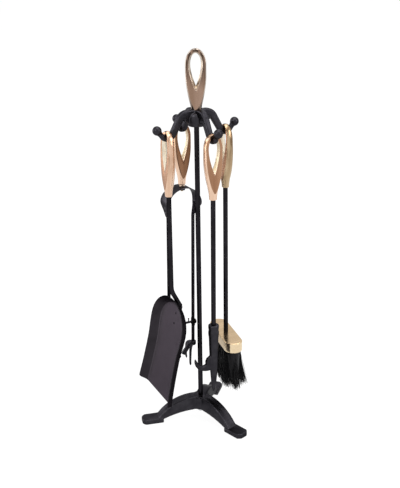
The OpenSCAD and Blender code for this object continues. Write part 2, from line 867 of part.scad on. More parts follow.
module right_leg() {
    slot_h = bar_d + 2.4;
    color(iron)
        tongs()
            difference() {
                union() {
                    tongs_leg(-1);
                    translate([-bar_d / 2 - 3.5, -leg_y - eye_t / 2, -bar_drop - slot_h / 2 - 4])
                        cube([bar_d + 7, eye_t, slot_h + 8]);
                }
                translate([-bar_d / 2 - hole_gap, -leg_y - leg_d, -bar_drop - slot_h / 2])
                    cube([bar_d + 2 * hole_gap, 2 * leg_d, slot_h]);
            }
}

module leg_rivets(s) {
    color(steel)
        tongs()
            for (z = tongs_rivets_at)
                on_tail(s)
                    translate([0, 0, -z])
                        rotate([0, 0, 90])
                            rivet(small_rivet_d, small_head_d,
                                s > 0 ? -bow_t / 2 - leg_tang_t : -bow_t / 2 - seat_gap,
                                s > 0 ? bow_t / 2 + seat_gap : bow_t / 2 + leg_tang_t);
}

module left_leg_rivets() leg_rivets(1);
module right_leg_rivets() leg_rivets(-1);

// A toe that leaves the palm level, bends down and ends straight.
module toe(bend, straight) {
    sweep = 85;
    translate([1, 0, -bend])
        rotate([90, 0, 0])
            rotate([0, 0, 90 - sweep]) {
                rotate_extrude(angle = sweep)
                    translate([bend - toe_t / 2, -toe_w / 2])
                        square([toe_t, toe_w]);
                translate([bend - toe_t / 2, -straight, -toe_w / 2])
                    cube([toe_t, straight, toe_w]);
            }
}

// The claw on the side s of the tongs; its middle toe points at the other claw.
module claw(s) {
    color(iron)
        tongs()
            translate([0, s * leg_y, -claw_drop])
                difference() {
                    union() {
                        translate([0, 0, -palm_h])
                            cylinder(d = palm_d, h = palm_h);
                        translate([0, 0, -palm_h / 2])
                            rotate([0, 0, -s * (90 - claw_turn)]) {
                                toe(mid_toe_r, mid_toe_len);
                                for (k = [-1, 1])
                                    rotate([0, 0, k * toe_spread])
                                        toe(side_toe_r, side_toe_len);
                            }
                    }
                    translate([0, 0, -rod_end - 0.5])
                        cylinder(d = tenon_d + 2 * pin_gap, h = rod_end + 0.5 + cut);
                }
}

module left_claw() claw(1);
module right_claw() claw(-1);

module guide_bar() {
    right_end = -leg_y - leg_d / 2 - seat_gap;
    left_end = leg_y + leg_d / 2;
    color(iron)
        tongs()
            difference() {
                translate([0, 0, -bar_drop])
                    rotate([-90, 0, 0]) {
                        translate([0, 0, right_end - bar_head_t])
                            cylinder(d = leg_d + 4, h = bar_head_t);
                        translate([0, 0, right_end - root])
                            cylinder(d = bar_d, h = left_end - right_end + 2 * root);
                        translate([0, 0, left_end])
                            cylinder(d = leg_d + 1, h = bar_head_t);
                    }
                translate([0, -leg_y + peg_off, -bar_drop])
                    cylinder(d = peg_d + 2 * pin_gap, h = bar_d);
            }
}

module guide_peg() {
    height = 8;
    color(steel)
        tongs()
            translate([0, -leg_y + peg_off, -bar_drop + 0.3]) {
                cylinder(d = peg_d, h = height + peg_d / 4);
                translate([0, 0, height])
                    sphere(d = peg_d + 1);
            }
}

base_casting();
base_washer();
base_nut();
column();
rack_casting();
finial_handle();
shovel_handle();
shovel_shaft();
shovel_pan();
shovel_rivets();
poker_handle();
poker_shaft();
poker_head();
brush_handle();
brush_shaft();
brush_cover();
brush_block();
brush_nut();
brush_bristles();
tongs_handle();
tongs_spacer();
tongs_bolt();
tongs_bow();
left_leg();
left_leg_rivets();
left_claw();
guide_bar();
guide_peg();
right_leg();
right_leg_rivets();
right_claw();
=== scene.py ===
"""The looks of a fireplace tool set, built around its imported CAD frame.

Points and sizes are in millimetres until a matrix in metres puts them in place. Angles are in degrees.
"""

import math
import random

import bmesh
import bpy
import numpy as np
from mathutils import Matrix, Vector


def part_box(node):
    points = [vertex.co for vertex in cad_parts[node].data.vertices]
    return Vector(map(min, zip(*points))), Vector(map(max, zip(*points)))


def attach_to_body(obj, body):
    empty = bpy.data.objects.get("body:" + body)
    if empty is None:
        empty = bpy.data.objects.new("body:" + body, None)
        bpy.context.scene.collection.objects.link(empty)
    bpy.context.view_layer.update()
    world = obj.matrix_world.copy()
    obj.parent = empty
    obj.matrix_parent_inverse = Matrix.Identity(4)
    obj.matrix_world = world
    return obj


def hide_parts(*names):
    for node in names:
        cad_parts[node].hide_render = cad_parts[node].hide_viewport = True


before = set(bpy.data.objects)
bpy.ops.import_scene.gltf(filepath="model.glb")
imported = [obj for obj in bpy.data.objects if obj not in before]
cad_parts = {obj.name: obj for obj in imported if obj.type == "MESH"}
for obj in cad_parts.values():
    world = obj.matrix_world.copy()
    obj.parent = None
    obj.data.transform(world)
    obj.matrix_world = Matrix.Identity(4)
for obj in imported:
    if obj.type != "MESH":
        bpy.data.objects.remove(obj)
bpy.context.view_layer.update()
MM = 0.001
RNG = random.Random(7)


# -------- mesh tools


def mix(a, b, s):
    return a + (b - a) * s


def mix_point(a, b, s):
    return mix(a[0], b[0], s), mix(a[1], b[1], s)


def unit(degrees):
    """Cosine and sine."""
    return math.cos(math.radians(degrees)), math.sin(math.radians(degrees))


def turned(degrees, axis):
    return Matrix.Rotation(math.radians(degrees), 4, axis)


def shifted(x, y, z):
    """A shift by millimetres, as a matrix in metres."""
    return Matrix.Translation((x * MM, y * MM, z * MM))


def shade_smooth(mesh, smooth=True):
    for p in mesh.polygons:
        p.use_smooth = smooth


def new_object(name, data):
    obj = bpy.data.objects.new(name, data)
    bpy.context.collection.objects.link(obj)
    return obj


def mesh_object(name, verts, faces, place=Matrix(), weld=0.0, kinds=None):
    """A smooth-shaded object from points in millimetres, put in place by a matrix in metres.

    kinds gives the number of each face's material.
    """
    bm = bmesh.new()
    points = [bm.verts.new(place @ (Vector(v) * MM)) for v in verts]
    for k, f in enumerate(faces):
        face = bm.faces.new([points[i] for i in f])
        face.material_index = kinds[k] if kinds else 0
    if weld:
        bmesh.ops.remove_doubles(bm, verts=bm.verts, dist=weld * MM)
    bmesh.ops.recalc_face_normals(bm, faces=bm.faces)
    mesh = bpy.data.meshes.new(name)
    bm.to_mesh(mesh)
    bm.free()
    shade_smooth(mesh)
    return new_object(name, mesh)


def rings_to_faces(count, size, wrap=True, caps=True, base=0):
    """Quads through rings of points, which lie one after another in the list of points."""
    faces = []
    for k in range(count - 1):
        for i in range(size if wrap else size - 1):
            j = (i + 1) % size
            a, b = base + k * size, base + (k + 1) * size
            faces.append((a + i, a + j, b + j, b + i))
    if caps:
        faces.append(tuple(base + i for i in range(size))[::-1])
        faces.append(tuple(base + (count - 1) * size + i for i in range(size)))
    return faces


class Shape:
    """A closed loft through rings of points, with others added to it."""

    def __init__(self, rings=()):
        self.verts = [tuple(p) for ring in rings for p in ring]
        self.faces = rings_to_faces(len(rings), len(rings[0])) if rings else []

    def moved(self, matrix):
        self.verts = [tuple(matrix @ Vector(v)) for v in self.verts]
        return self

    def add(self, other):
        base = len(self.verts)
        self.verts += other.verts
        self.faces += [tuple(i + base for i in f) for f in other.faces]
        return self


def bake_modifiers(obj):
    """Makes what the modifiers show the object's own mesh."""
    deps = bpy.context.evaluated_depsgraph_get()
    mesh = bpy.data.meshes.new_from_object(obj.evaluated_get(deps))
    obj.modifiers.clear()
    obj.data = mesh
    shade_smooth(mesh)


def cast_together(obj, voxel, rounds):
    """Merges overlapping closed lofts into one skin and rounds its edges, as a casting has them."""
    remesh = obj.modifiers.new("merge", "REMESH")
    remesh.mode = "VOXEL"
    remesh.voxel_size = voxel * MM
    smooth = obj.modifiers.new("round", "SMOOTH")
    smooth.factor = 0.5
    smooth.iterations = rounds
    bake_modifiers(obj)


def rounded_rect(half_u, half_v, r, per_corner=4):
    points = []
    for cu, cv, start in ((1, 1, 0), (-1, 1, 90), (-1, -1, 180), (1, -1, 270)):
        for k in range(per_corner + 1):
            a = math.radians(start + 90 * k / per_corner)
            points.append((cu * (half_u - r) + r * math.cos(a), cv * (half_v - r) + r * math.sin(a)))
    return points


def sweep(path, outlines, side=(0, 1, 0)):
    """Rings along a path that lies in a plane.

    side is that plane's normal, and an outline's (u, v) goes along side and across the path.
    """
    rings = []
    side = Vector(side)
    for i, p in enumerate(path):
        a = Vector(path[max(i - 1, 0)])
        b = Vector(path[min(i + 1, len(path) - 1)])
        along = (b - a).normalized()
        normal = along.cross(side).normalized()
        rings.append([tuple(Vector(p) + side * u + normal * v) for u, v in outlines[i]])
    return rings


def lathe(profile, n=40):
    """Rings round the z axis through (radius, height) points."""
    turns = [2 * math.pi * k / n for k in range(n)]
    return [[(r * math.cos(a), r * math.sin(a), z) for a in turns] for r, z in profile]


def dome(r, half, degrees):
    """(radius, height) points over an ellipsoid, at angles from its top."""
    return [(r * math.sin(math.radians(a)), half * math.cos(math.radians(a))) for a in degrees]


def arc(cx, cz, r, start, end, steps):
    angles = [math.radians(start + (end - start) * k / steps) for k in range(steps + 1)]
    return [(cx + r * math.cos(a), cz + r * math.sin(a)) for a in angles]


# -------- materials


def fresh_tree(owner, output):
    """The node tree of a material or world, with nothing in it but its output."""
    owner.use_nodes = True
    owner.node_tree.nodes.clear()
    return owner.node_tree, owner.node_tree.nodes.new(output)


def new_material(name, metallic=0.0):
    mat = bpy.data.materials.new(name)
    tree, out = fresh_tree(mat, "ShaderNodeOutputMaterial")
    bsdf = tree.nodes.new("ShaderNodeBsdfPrincipled")
    bsdf.inputs["Metallic"].default_value = metallic
    tree.links.new(bsdf.outputs[0], out.inputs[0])
    return mat, tree, bsdf


def attach(tree, socket, value):
    """Gives a socket another node's output, a plain colour or a plain number."""
    if isinstance(value, bpy.types.NodeSocket):
        tree.links.new(value, socket)
    else:
        socket.default_value = (*value, 1) if isinstance(value, tuple) else value


def maths(tree, operation, a, b):
    node = tree.nodes.new("ShaderNodeMath")
    node.operation = operation
    attach(tree, node.inputs[0], a)
    attach(tree, node.inputs[1], b)
    return node.outputs[0]


def noise(tree, scale, detail=4.0, rough=0.55, stretch=(1, 1, 1)):
    """Cloudy noise from 0 to 1; it is drawn out along an axis whose stretch is below 1."""
    coords = tree.nodes.new("ShaderNodeTexCoord")
    mapping = tree.nodes.new("ShaderNodeMapping")
    mapping.inputs["Scale"].default_value = stretch
    tex = tree.nodes.new("ShaderNodeTexNoise")
    tex.inputs["Scale"].default_value = scale
    tex.inputs["Detail"].default_value = detail
    tex.inputs["Roughness"].default_value = rough
    tree.links.new(coords.outputs["Object"], mapping.inputs["Vector"])
    tree.links.new(mapping.outputs[0], tex.inputs["Vector"])
    return tex.outputs["Fac"]


def height_of_point(tree):
    coords = tree.nodes.new("ShaderNodeTexCoord")
    split = tree.nodes.new("ShaderNodeSeparateXYZ")
    tree.links.new(coords.outputs["Object"], split.inputs[0])
    return split.outputs["Z"]


def ramp(tree, value, low=0.0, high=1.0, start=0.35, end=0.65):
    """A number that runs from low to high as value runs from start to end."""
    node = tree.nodes.new("ShaderNodeMapRange")
    node.inputs["From Min"].default_value = start
    node.inputs["From Max"].default_value = end
    node.inputs["To Min"].default_value = low
    node.inputs["To Max"].default_value = high
    tree.links.new(value, node.inputs["Value"])
    return node.outputs[0]


def blend_colour(tree, fac, a, b):
    node = tree.nodes.new("ShaderNodeMix")
    node.data_type = "RGBA"
    tree.links.new(fac, node.inputs[0])
    attach(tree, node.inputs[6], a)
    attach(tree, node.inputs[7], b)
    return node.outputs[2]


def edge_mask(tree, radius, gain):
    """gain along outer edges and 0 on open surfaces, from how far a rounded normal leaves the true one."""
    bevel = tree.nodes.new("ShaderNodeBevel")
    bevel.samples = 4
    bevel.inputs["Radius"].default_value = radius * MM
    geometry = tree.nodes.new("ShaderNodeNewGeometry")
    dot = tree.nodes.new("ShaderNodeVectorMath")
    dot.operation = "DOT_PRODUCT"
    tree.links.new(bevel.outputs[0], dot.inputs[0])
    tree.links.new(geometry.outputs["Normal"], dot.inputs[1])
    return ramp(tree, dot.outputs["Value"], gain, 0.0, start=0.8, end=0.99)


def dress(tree, bsdf, colour, rough, height, strength, distance):
    """Gives a shader its colour, its roughness and a bump from height."""
    bump = tree.nodes.new("ShaderNodeBump")
    bump.inputs["Strength"].default_value = strength
    bump.inputs["Distance"].default_value = distance * MM
    tree.links.new(height, bump.inputs["Height"])
    for name, value in (("Base Color", colour), ("Roughness", rough), ("Normal", bump.outputs[0])):
        tree.links.new(value, bsdf.inputs[name])


def black_finish(name, base, lift, rough, grain, bump, edge_rub_and_highlight, rim=0.1, stretch=(1, 1, 1), edge_width=0.9):
    """Satin blackened metal: cloudy from base to lift, a fine casting grain, edges lighter in patches, which is partly
    rubbed metal and partly a painted highlight.

    rim tints the gloss near the outline, which a low value darkens; the last argument is the width of the lighter
    edges.
    """
    mat, tree, bsdf = new_material(name, metallic=1.0)
    bsdf.inputs["Specular Tint"].default_value = (rim, rim, rim, 1)
    cloud = ramp(tree, noise(tree, scale=38, detail=5))
    fine = noise(tree, grain, detail=3, rough=0.6, stretch=stretch)
    tone = blend_colour(tree, cloud, base, lift)
    patches = ramp(tree, noise(tree, scale=160), low=0.2)
    # the lighter edges are rubbed metal and a painted highlight together
    rubbed_and_lit_edges = maths(tree, "MULTIPLY", edge_mask(tree, edge_width, gain=0.7), patches)
    colour = blend_colour(tree, rubbed_and_lit_edges, tone, edge_rub_and_highlight)
    gloss = ramp(tree, fine, rough - 0.07, rough + 0.09, start=0.3, end=0.7)
    dress(tree, bsdf, colour, gloss, fine, bump, distance=0.12)
    return mat


def gold_finish(name, base, deep, edge_rub_and_highlight, rough, brush, bands, crown=None, streak=None):
    """Plated metal in soft bands from base to deep, which are painted dark reflection lines; finely brushed; a painted
    highlight along its edges.

    brush draws the bands and the brushing out, and bands is the bands' scale. Painted reflection streaks of another
    colour fade in between the two heights of crown, which are in metres.
    """
    mat, tree, bsdf = new_material(name, metallic=1.0)
    cloud = ramp(tree, noise(tree, bands, detail=2, rough=0.5, stretch=brush), start=0.38, end=0.64)
    lines = noise(tree, scale=420, detail=3, rough=0.7, stretch=brush)
    tone = blend_colour(tree, cloud, base, deep)
    # painted reflection streaks on the loops' crowns, dark or light by the streak colour
    if crown:
        fade = ramp(tree, height_of_point(tree), start=crown[0], end=crown[1])
        stripes = noise(tree, scale=210, detail=2, rough=0.5, stretch=(1, 1, 0.10))
        streaks = maths(tree, "MULTIPLY", fade, ramp(tree, stripes, start=0.38, end=0.53))
        tone = blend_colour(tree, streaks, tone, streak)
    # a painted highlight along the edges
    edges = edge_mask(tree, radius=1.3, gain=0.85)
    colour = blend_colour(tree, edges, tone, edge_rub_and_highlight)
    gloss = ramp(tree, lines, rough - 0.05, rough + 0.08, start=0.3, end=0.7)
    dress(tree, bsdf, colour, gloss, lines, strength=0.25, distance=0.03)
    return mat


def plain_steel(name, base, rough):
    mat, tree, bsdf = new_material(name, metallic=1.0)
    spots = ramp(tree, noise(tree, scale=220))
    colour = blend_colour(tree, spots, base, tuple(0.8 * c for c in base))
    fine = noise(tree, scale=1500, detail=2)
    dress(tree, bsdf, colour, ramp(tree, fine, rough - 0.06, rough + 0.1), fine, strength=0.1, distance=0.03)
    return mat


def beech():
    mat, tree, bsdf = new_material("beech")
    grain = noise(tree, scale=140, detail=5, rough=0.6, stretch=(1, 0.08, 1))
    wood = blend_colour(tree, ramp(tree, grain), (0.55, 0.37, 0.20), (0.40, 0.24, 0.12))
    dress(tree, bsdf, wood, ramp(tree, grain, 0.55, 0.75), grain, strength=0.2, distance=0.1)
    return mat


def filament():
    mat, tree, bsdf = new_material("filament")
    streak = noise(tree, scale=700, detail=3, rough=0.6, stretch=(1, 1, 0.03))
    fac = ramp(tree, streak, start=0.4, end=0.7)
    tone = blend_colour(tree, fac, (0.003, 0.003, 0.0035), (0.016, 0.015, 0.017))
    bsdf.inputs["Specular IOR Level"].default_value = 0.14
    dress(tree, bsdf, tone, ramp(tree, streak, 0.42, 0.6), streak, strength=0.2, distance=0.05)
    return mat


# each black finish's edge colour is rubbed metal and a painted highlight together
CAST_BLACK = black_finish(
    "cast_black", (0.020, 0.019, 0.023), (0.040, 0.038, 0.044), rough=0.34, grain=900, bump=0.35,
    edge_rub_and_highlight=(0.42, 0.40, 0.43), rim=0.53, edge_width=1.7,
)
BAR_BLACK = black_finish(
    "bar_black", (0.014, 0.013, 0.015), (0.024, 0.022, 0.026), rough=0.32, grain=1400, bump=0.05,
    edge_rub_and_highlight=(0.034, 0.033, 0.036), stretch=(1, 1, 0.1),
)
STRIP_BLACK = black_finish(
    "strip_black", (0.040, 0.038, 0.043), (0.062, 0.059, 0.066), rough=0.30, grain=1200, bump=0.15,
    edge_rub_and_highlight=(0.24, 0.23, 0.25), rim=0.4, edge_width=1.2,
)
# the pan's lighter edges: rubbed metal and a painted highlight
PAN_EDGE_RUB_AND_HIGHLIGHT = (0.14, 0.14, 0.145)
# a lighter copy of the pan's black on its floor is painted light; the darker copy on its walls is painted shade
PAN_FLOOR_LIT = black_finish("pan_floor_painted_light", (0.070, 0.061, 0.071), (0.076, 0.066, 0.077), 0.46, 1600, 0.15, PAN_EDGE_RUB_AND_HIGHLIGHT)
PAN_WALL_SHADED = black_finish("pan_wall", (0.026, 0.023, 0.027), (0.034, 0.030, 0.035), 0.44, 1600, 0.15, PAN_EDGE_RUB_AND_HIGHLIGHT)

# how the brushing is drawn out on a handle's sides, flats and holes, and on the brush's cover
ON_SIDES, ON_FLATS, IN_HOLE, ON_COVER = (1, 1, 0.04), (1, 1, 0.12), (1, 1, 0.3), (1, 0.08, 1)
LOOP_CROWN = (0.54, 0.585)  # heights in metres between which the crowns' painted reflection streaks fade in
# edge colours of the gilt finishes, which are painted highlights along their edges
ROSE_EDGE_HIGHLIGHT, PALE_EDGE_HIGHLIGHT = (0.94, 0.80, 0.64), (0.99, 0.94, 0.78)
# the last colour given to a crowned finish paints reflection streaks on its crown
ROSE_GOLD = gold_finish(
    "rose_gold", (0.77, 0.55, 0.41), (0.66, 0.44, 0.31), (0.98, 0.90, 0.78), 0.20, ON_SIDES, 110,
    LOOP_CROWN, (0.36, 0.22, 0.135),
)
# darker copies of the rose gold on the flats are painted shade; the lighter copy in the holes is painted light
ROSE_FLAT_SHADED = gold_finish("rose_gold_flats_painted_shade", (0.40, 0.225, 0.135), (0.30, 0.155, 0.088), ROSE_EDGE_HIGHLIGHT, 0.24, ON_FLATS, 60)
ROSE_HOLE_LIT = gold_finish("rose_gold_hole_painted_light", (0.82, 0.75, 0.62), (0.70, 0.61, 0.48), (0.98, 0.92, 0.80), 0.36, IN_HOLE, 90)
DEEP_FLAT_SHADED = gold_finish("deep_gold_flats_painted_shade", (0.25, 0.13, 0.072), (0.17, 0.085, 0.045), ROSE_EDGE_HIGHLIGHT, 0.24, ON_FLATS, 60)
# the finial's darker copies of the rose gold are painted shade; its hole's bright and dark lines are painted
# reflections
DUSK_GOLD_SHADED = gold_finish(
    "dusk_gold_painted_shade", (0.23, 0.175, 0.14), (0.15, 0.108, 0.084), (0.58, 0.50, 0.43), 0.20, ON_SIDES, 110,
    (0.665, 0.71), (0.62, 0.53, 0.45),
)
DUSK_FLAT_SHADED = gold_finish(
    "dusk_gold_flats_painted_shade", (0.36, 0.24, 0.18), (0.29, 0.185, 0.13), (0.94, 0.84, 0.74), 0.24, ON_FLATS, 60,
    (0.695, 0.735), (0.09, 0.058, 0.042),
)
DUSK_HOLE_REFLECTIONS = gold_finish(
    "dusk_gold_hole_painted_reflections", (0.66, 0.56, 0.45), (0.14, 0.095, 0.07), (0.90, 0.82, 0.72), 0.30, (1, 1, 0.05), 300,
)
# a yellower copy of the rose gold for the brush's loop; its tone is a painted reflection
KHAKI_GOLD_REFLECTED = gold_finish(
    "khaki_gold_painted_reflection", (0.49, 0.37, 0.235), (0.38, 0.27, 0.16), (0.96, 0.88, 0.70), 0.20, ON_SIDES, 110,
    LOOP_CROWN, (0.19, 0.12, 0.065),
)
PALE_GOLD = gold_finish("pale_gold", (0.58, 0.42, 0.25), (0.50, 0.36, 0.21), (0.98, 0.90, 0.70), 0.18, ON_COVER, 60)
# lighter and darker copies of the pale gold for the cover's ends and flanks are painted light and painted shade
PALE_FLANKS_SHADED = gold_finish("pale_gold_flanks_painted_shade", (0.42, 0.30, 0.155), (0.37, 0.26, 0.13), PALE_EDGE_HIGHLIGHT, 0.17, ON_COVER, 60)
PALE_ENDS_LIT = gold_finish("pale_gold_ends_painted_light", (0.78, 0.64, 0.43), (0.70, 0.55, 0.36), PALE_EDGE_HIGHLIGHT, 0.17, ON_COVER, 60)
ZINC = plain_steel("zinc", (0.62, 0.63, 0.65), 0.34)
BEECH = beech()
FILAMENT = filament()


def finish_piece(obj, body, node, slot, *mats):
    for mat in mats:
        obj.data.materials.append(mat)
    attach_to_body(obj, body)
    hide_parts(node)


def shape_piece(name, shape, body, node, slot, mat, place=Matrix(), cast=None):
    """A piece from a Shape; cast gives the voxel and the rounds that cast_together takes."""
    obj = mesh_object(name, shape.verts, shape.faces, place)
    if cast:
        cast_together(obj, *cast)
    finish_piece(obj, body, node, slot, mat)


# -------- where the tools hang

CROWN_T = 9.3  # metal over a loop's hole
shovel_lo, shovel_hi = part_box("shovel_handle")
HANG_R = -(shovel_lo.y + shovel_hi.y) / 2 / MM
SEAT_Z = shovel_hi.z / MM - CROWN_T
FINIAL_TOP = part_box("finial_handle")[1].z / MM
HOOK_D, HOOK_DROP = 10.5, 17.2  # a hook's thickness, and its trough's depth below the rack
TROUGH_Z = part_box("rack_casting")[0].z / MM + HOOK_D / 2
RACK_Z = TROUGH_Z + HOOK_DROP
# each hook's bearing, and how far its tool leans
TILT = {"shovel": (270, 0.0), "poker": (0, -0.3), "brush": (90, 0.0), "tongs": (180, 1.0)}


def hung(tool):
    """Where a tool hangs: its origin is the seat of its loop, +x points outward."""
    side, lean = TILT[tool]
    return turned(side, "Z") @ shifted(HANG_R, 0, SEAT_Z) @ turned(lean, "X")


# -------- looped handles
# A depth d is measured down from a handle's top.

HANDLE_LEN, LOOP_W, CROWN_H = 127.0, 38.5, 30.0
TAPER_FROM, TAPER_TO, TAPER_POWER, SHOULDER_W, NECK_D = 50.0, 107.0, 1.6, 20.8, 16.5
LOOP_T, FLATS_T = 10.8, 19.0  # thickness at the top and at the foot
HOLE_W, HOLE_CROWN, HOLE_POINT, HOLE_FLARE = 19.2, 20.0, 38.7, 0.5
HOLE_CROWN_SHARE, HOLE_POWER, POINT_GROWTH = 0.46, 1.7, 2.56
# shares of the way from the hole's middle to its rim, and how far its wall is rounded back there
HOLE_WALL = ((0, 0.14), (0.07, 0.05), (0.3, 0), (0.6, 0), (0.88, 0))
RIM_BACK, CREASE_NEAR, FLAT_SUNK, SIDE_NEAR = 0.25, 0.35, 0.02, 0.4
EDGE, EDGE_CUT, FOOT_R = 1.2, (0.3, 0.65), 3.0  # rounding of the foot's edge, and its end face's inner radius
THIN_FROM, THIN_RUN, THIN_BY, THIN_POWER = 84, 40, 0.16, 1.5  # a handle gets thinner towards its foot
SIDE_COLUMNS, FOOT_COLUMNS = 44, 10
COLUMNS = SIDE_COLUMNS + FOOT_COLUMNS
HOLE_TO, FLAT_FROM, FLAT_TO = 4, 5, 9  # strips of a column that lie in the hole and on the flats


def handle_half(d):
    if d < CROWN_H:
        return LOOP_W / 2 * math.sqrt(max(0, 1 - (1 - d / CROWN_H) ** 2))
    if d < TAPER_FROM:
        return LOOP_W / 2
    if d < TAPER_TO:
        share = (d - TAPER_FROM) / (TAPER_TO - TAPER_FROM)
        return LOOP_W / 2 - (LOOP_W - SHOULDER_W) / 2 * share ** TAPER_POWER
    return NECK_D / 2 + (SHOULDER_W - NECK_D) / 2 * (1 - (d - TAPER_TO) / (HANDLE_LEN - TAPER_TO)) ** 2


def flat_half(d):
    return mix(LOOP_T, FLATS_T, d / HANDLE_LEN) / 2


def thinned(d):
    return 1 - THIN_BY * min(1, max(0, (d - THIN_FROM) / THIN_RUN)) ** THIN_POWER


def crossing(low, high):
    """Depth at which the flats meet the round outside."""
    sign = handle_half(low) > flat_half(low)
    for _ in range(50):
        mid = (low + high) / 2
        if (handle_half(mid) > flat_half(mid)) == sign:
            low = mid
        else:
            high = mid
    return (low + high) / 2


CREASE_FROM, CREASE_TO = crossing(0.01, 10), crossing(TAPER_TO, HANDLE_LEN)


def crease_half(d):
    return math.sqrt(max(0, handle_half(d) ** 2 - flat_half(d) ** 2))


def by_length(half, start, end, count):
    """Depths along the outline half(d) at equal steps of its length."""
    n = 900
    depth = np.array([mix(start, end, (1 - math.cos(math.pi * k / n)) / 2) for k in range(n + 1)])
    width = np.array([half(d) for d in depth])
    run = np.concatenate([[0], np.cumsum(np.hypot(np.diff(depth), np.diff(width)))])
    return np.interp(np.linspace(0, run[-1], count + 1), run, depth)


def hole_point(t, g):
    """(half width, depth) of the hole's outline, grown by g, at a share t of the way down."""
    level = CROWN_T + HOLE_CROWN
    if t < HOLE_CROWN_SHARE:
        a = math.radians(90 * t / HOLE_CROWN_SHARE)
        return (HOLE_W / 2 + g) * math.sin(a), level - (HOLE_CROWN + g) * math.cos(a)
    u = (t - HOLE_CROWN_SHARE) / (1 - HOLE_CROWN_SHARE)
    return (HOLE_W / 2 + g) * (1 - u ** HOLE_POWER), level + (HOLE_POINT + POINT_GROWTH * g) * u


def hole_wall_point(t, d, share, back):
    """hole_point on the flared wall; it grows with the thickness at its own depth, which is sought from d."""
    for _ in range(3):
        y, d = hole_point(t, HOLE_FLARE * share * flat_half(d) + back)
    return y, d


def handle_column(t, crease_d, side_d, end):
    """Points (x, y, d) of a quarter handle, from the hole over the flats to the outside.

    t is the share of the way down, crease_d and side_d are the depths where the flats and the outside end, and end is
    the outside's last angle, in radians.
    """
    column = []
    for share, back in HOLE_WALL:
        y, d = hole_wall_point(t, hole_point(t, 0)[1], share, back)
        column.append((share * flat_half(d), y, d))
    inner = hole_wall_point(t, d, 1, RIM_BACK)
    outer = (crease_half(crease_d), crease_d)
    for s in (0, 0.25, 0.5, 0.75, 1 - CREASE_NEAR / math.dist(inner, outer)):
        y, d = mix_point(inner, outer, s)
        column.append(((flat_half(d) - FLAT_SUNK) * thinned(d), y, d))
    start = math.asin(min(1, flat_half(crease_d) / max(handle_half(crease_d), 1e-6)))
    length = max(1.0, math.hypot(handle_half(crease_d) * (start - end), side_d - crease_d))
    for s in (SIDE_NEAR / length, 0.18, 0.36, 0.54, 0.70, 0.84, 0.94, 1.0):
        d, a = mix(crease_d, side_d, s), mix(start, end, s)
        w = handle_half(d)
        column.append((min(w * math.sin(a), flat_half(d)) * thinned(d), w * math.cos(a), d))
    return column


def handle_shape():
    """Points, faces and the faces' kinds: 0 outside, 1 flats, 2 hole."""
    foot_d = HANDLE_LEN - EDGE
    side_depths = by_length(handle_half, 0, foot_d, SIDE_COLUMNS)
    crease_depths = by_length(crease_half, CREASE_FROM, CREASE_TO, COLUMNS)
    columns = []
    for k in range(COLUMNS + 1):
        on_foot = max(0, k - SIDE_COLUMNS)
        side_d = foot_d if on_foot else side_depths[k]
        end = math.radians(90 * on_foot / FOOT_COLUMNS)
        columns.append(handle_column(k / COLUMNS, crease_depths[k], side_d, end))
    verts, faces = [], []
    size = len(columns[0])
    for front in (1, -1):
        for right in (1, -1):
            base = len(verts)
            verts += [(front * x, right * y, -d) for column in columns for x, y, d in column]
            faces += rings_to_faces(len(columns), size, wrap=False, caps=False, base=base)
    strips = [k % (size - 1) for k in range(len(faces))]
    kinds = [1 if FLAT_FROM <= k < FLAT_TO else 2 if k < HOLE_TO else 0 for k in strips]
    steps = 4 * FOOT_COLUMNS
    turns = [2 * math.pi * k / steps for k in range(steps)]
    r = handle_half(foot_d)
    foot = ((r, foot_d), (r - EDGE_CUT[0], foot_d + EDGE_CUT[1]), (r - EDGE, HANDLE_LEN), (FOOT_R, HANDLE_LEN))
    rings = [[((1 - THIN_BY) * w * math.sin(a), w * math.cos(a), -d) for a in turns] for w, d in foot]
    base = len(verts)
    verts += [p for ring in rings for p in ring]
    faces += rings_to_faces(len(rings), steps, caps=False, base=base)
    faces.append(tuple(base + (len(rings) - 1) * steps + k for k in range(steps)))
    return verts, faces, kinds + [0] * (len(faces) - len(kinds))


handle_verts, handle_faces, handle_kinds = handle_shape()


def make_handle(name, body, node, place, slim, side, flats, hole=ROSE_HOLE_LIT):
    up = shifted(0, 0, CROWN_T) @ Matrix.Diagonal((1, slim, 1, 1))
    obj = mesh_object(name, handle_verts, handle_faces, place @ up, 0.02, handle_kinds)
    finish_piece(obj, body, node, "rose_gold", side, flats, hole)


BRUSH_SLIM, TOOL_SLIM, FINIAL_SLIM, FINIAL_TURN = 1.0, 0.94, 1.03, -28
for tool in TILT:
    slim, side = (BRUSH_SLIM, KHAKI_GOLD_REFLECTED) if tool == "brush" else (TOOL_SLIM, ROSE_GOLD)
    # the tongs' flats take the deeper painted-shade copy
    flats = DEEP_FLAT_SHADED if tool == "tongs" else ROSE_FLAT_SHADED
    make_handle(f"loop_{tool}", tool, f"{tool}_handle", hung(tool), slim, side, flats)
finial_place = shifted(0, 0, FINIAL_TOP - CROWN_T) @ turned(FINIAL_TURN, "Z")
# the finial takes the darker painted-shade copies
make_handle("loop_finial", "stand", "finial_handle", finial_place, FINIAL_SLIM, DUSK_GOLD_SHADED, DUSK_FLAT_SHADED, DUSK_HOLE_REFLECTIONS)


# -------- rack

TROUGH_BEND, CREST_R, CREST_BEND = 13.0, 20.0, 18.0
TROUGH = (HANG_R, TROUGH_Z + TROUGH_BEND)
SLOPE, TIP_SLOPE, TIP_LEN, BALL_D = 60, 50, 16.4, 17.6
BALL_NECK = ((0.62, 0.96), (0.56, 1.25), (0.52, 1.6), (0.3, 1.75), (0.05, 1.8))  # in radii of the ball
HUB = [
    (1, 0), (14.2, 0), (16.2, 1.6), (17.2, 6), (17.6, 14), (17.0, 20), (15.5, 24.5), (11.0, 26.6), (4, 26.0), (1, 26.0)
]


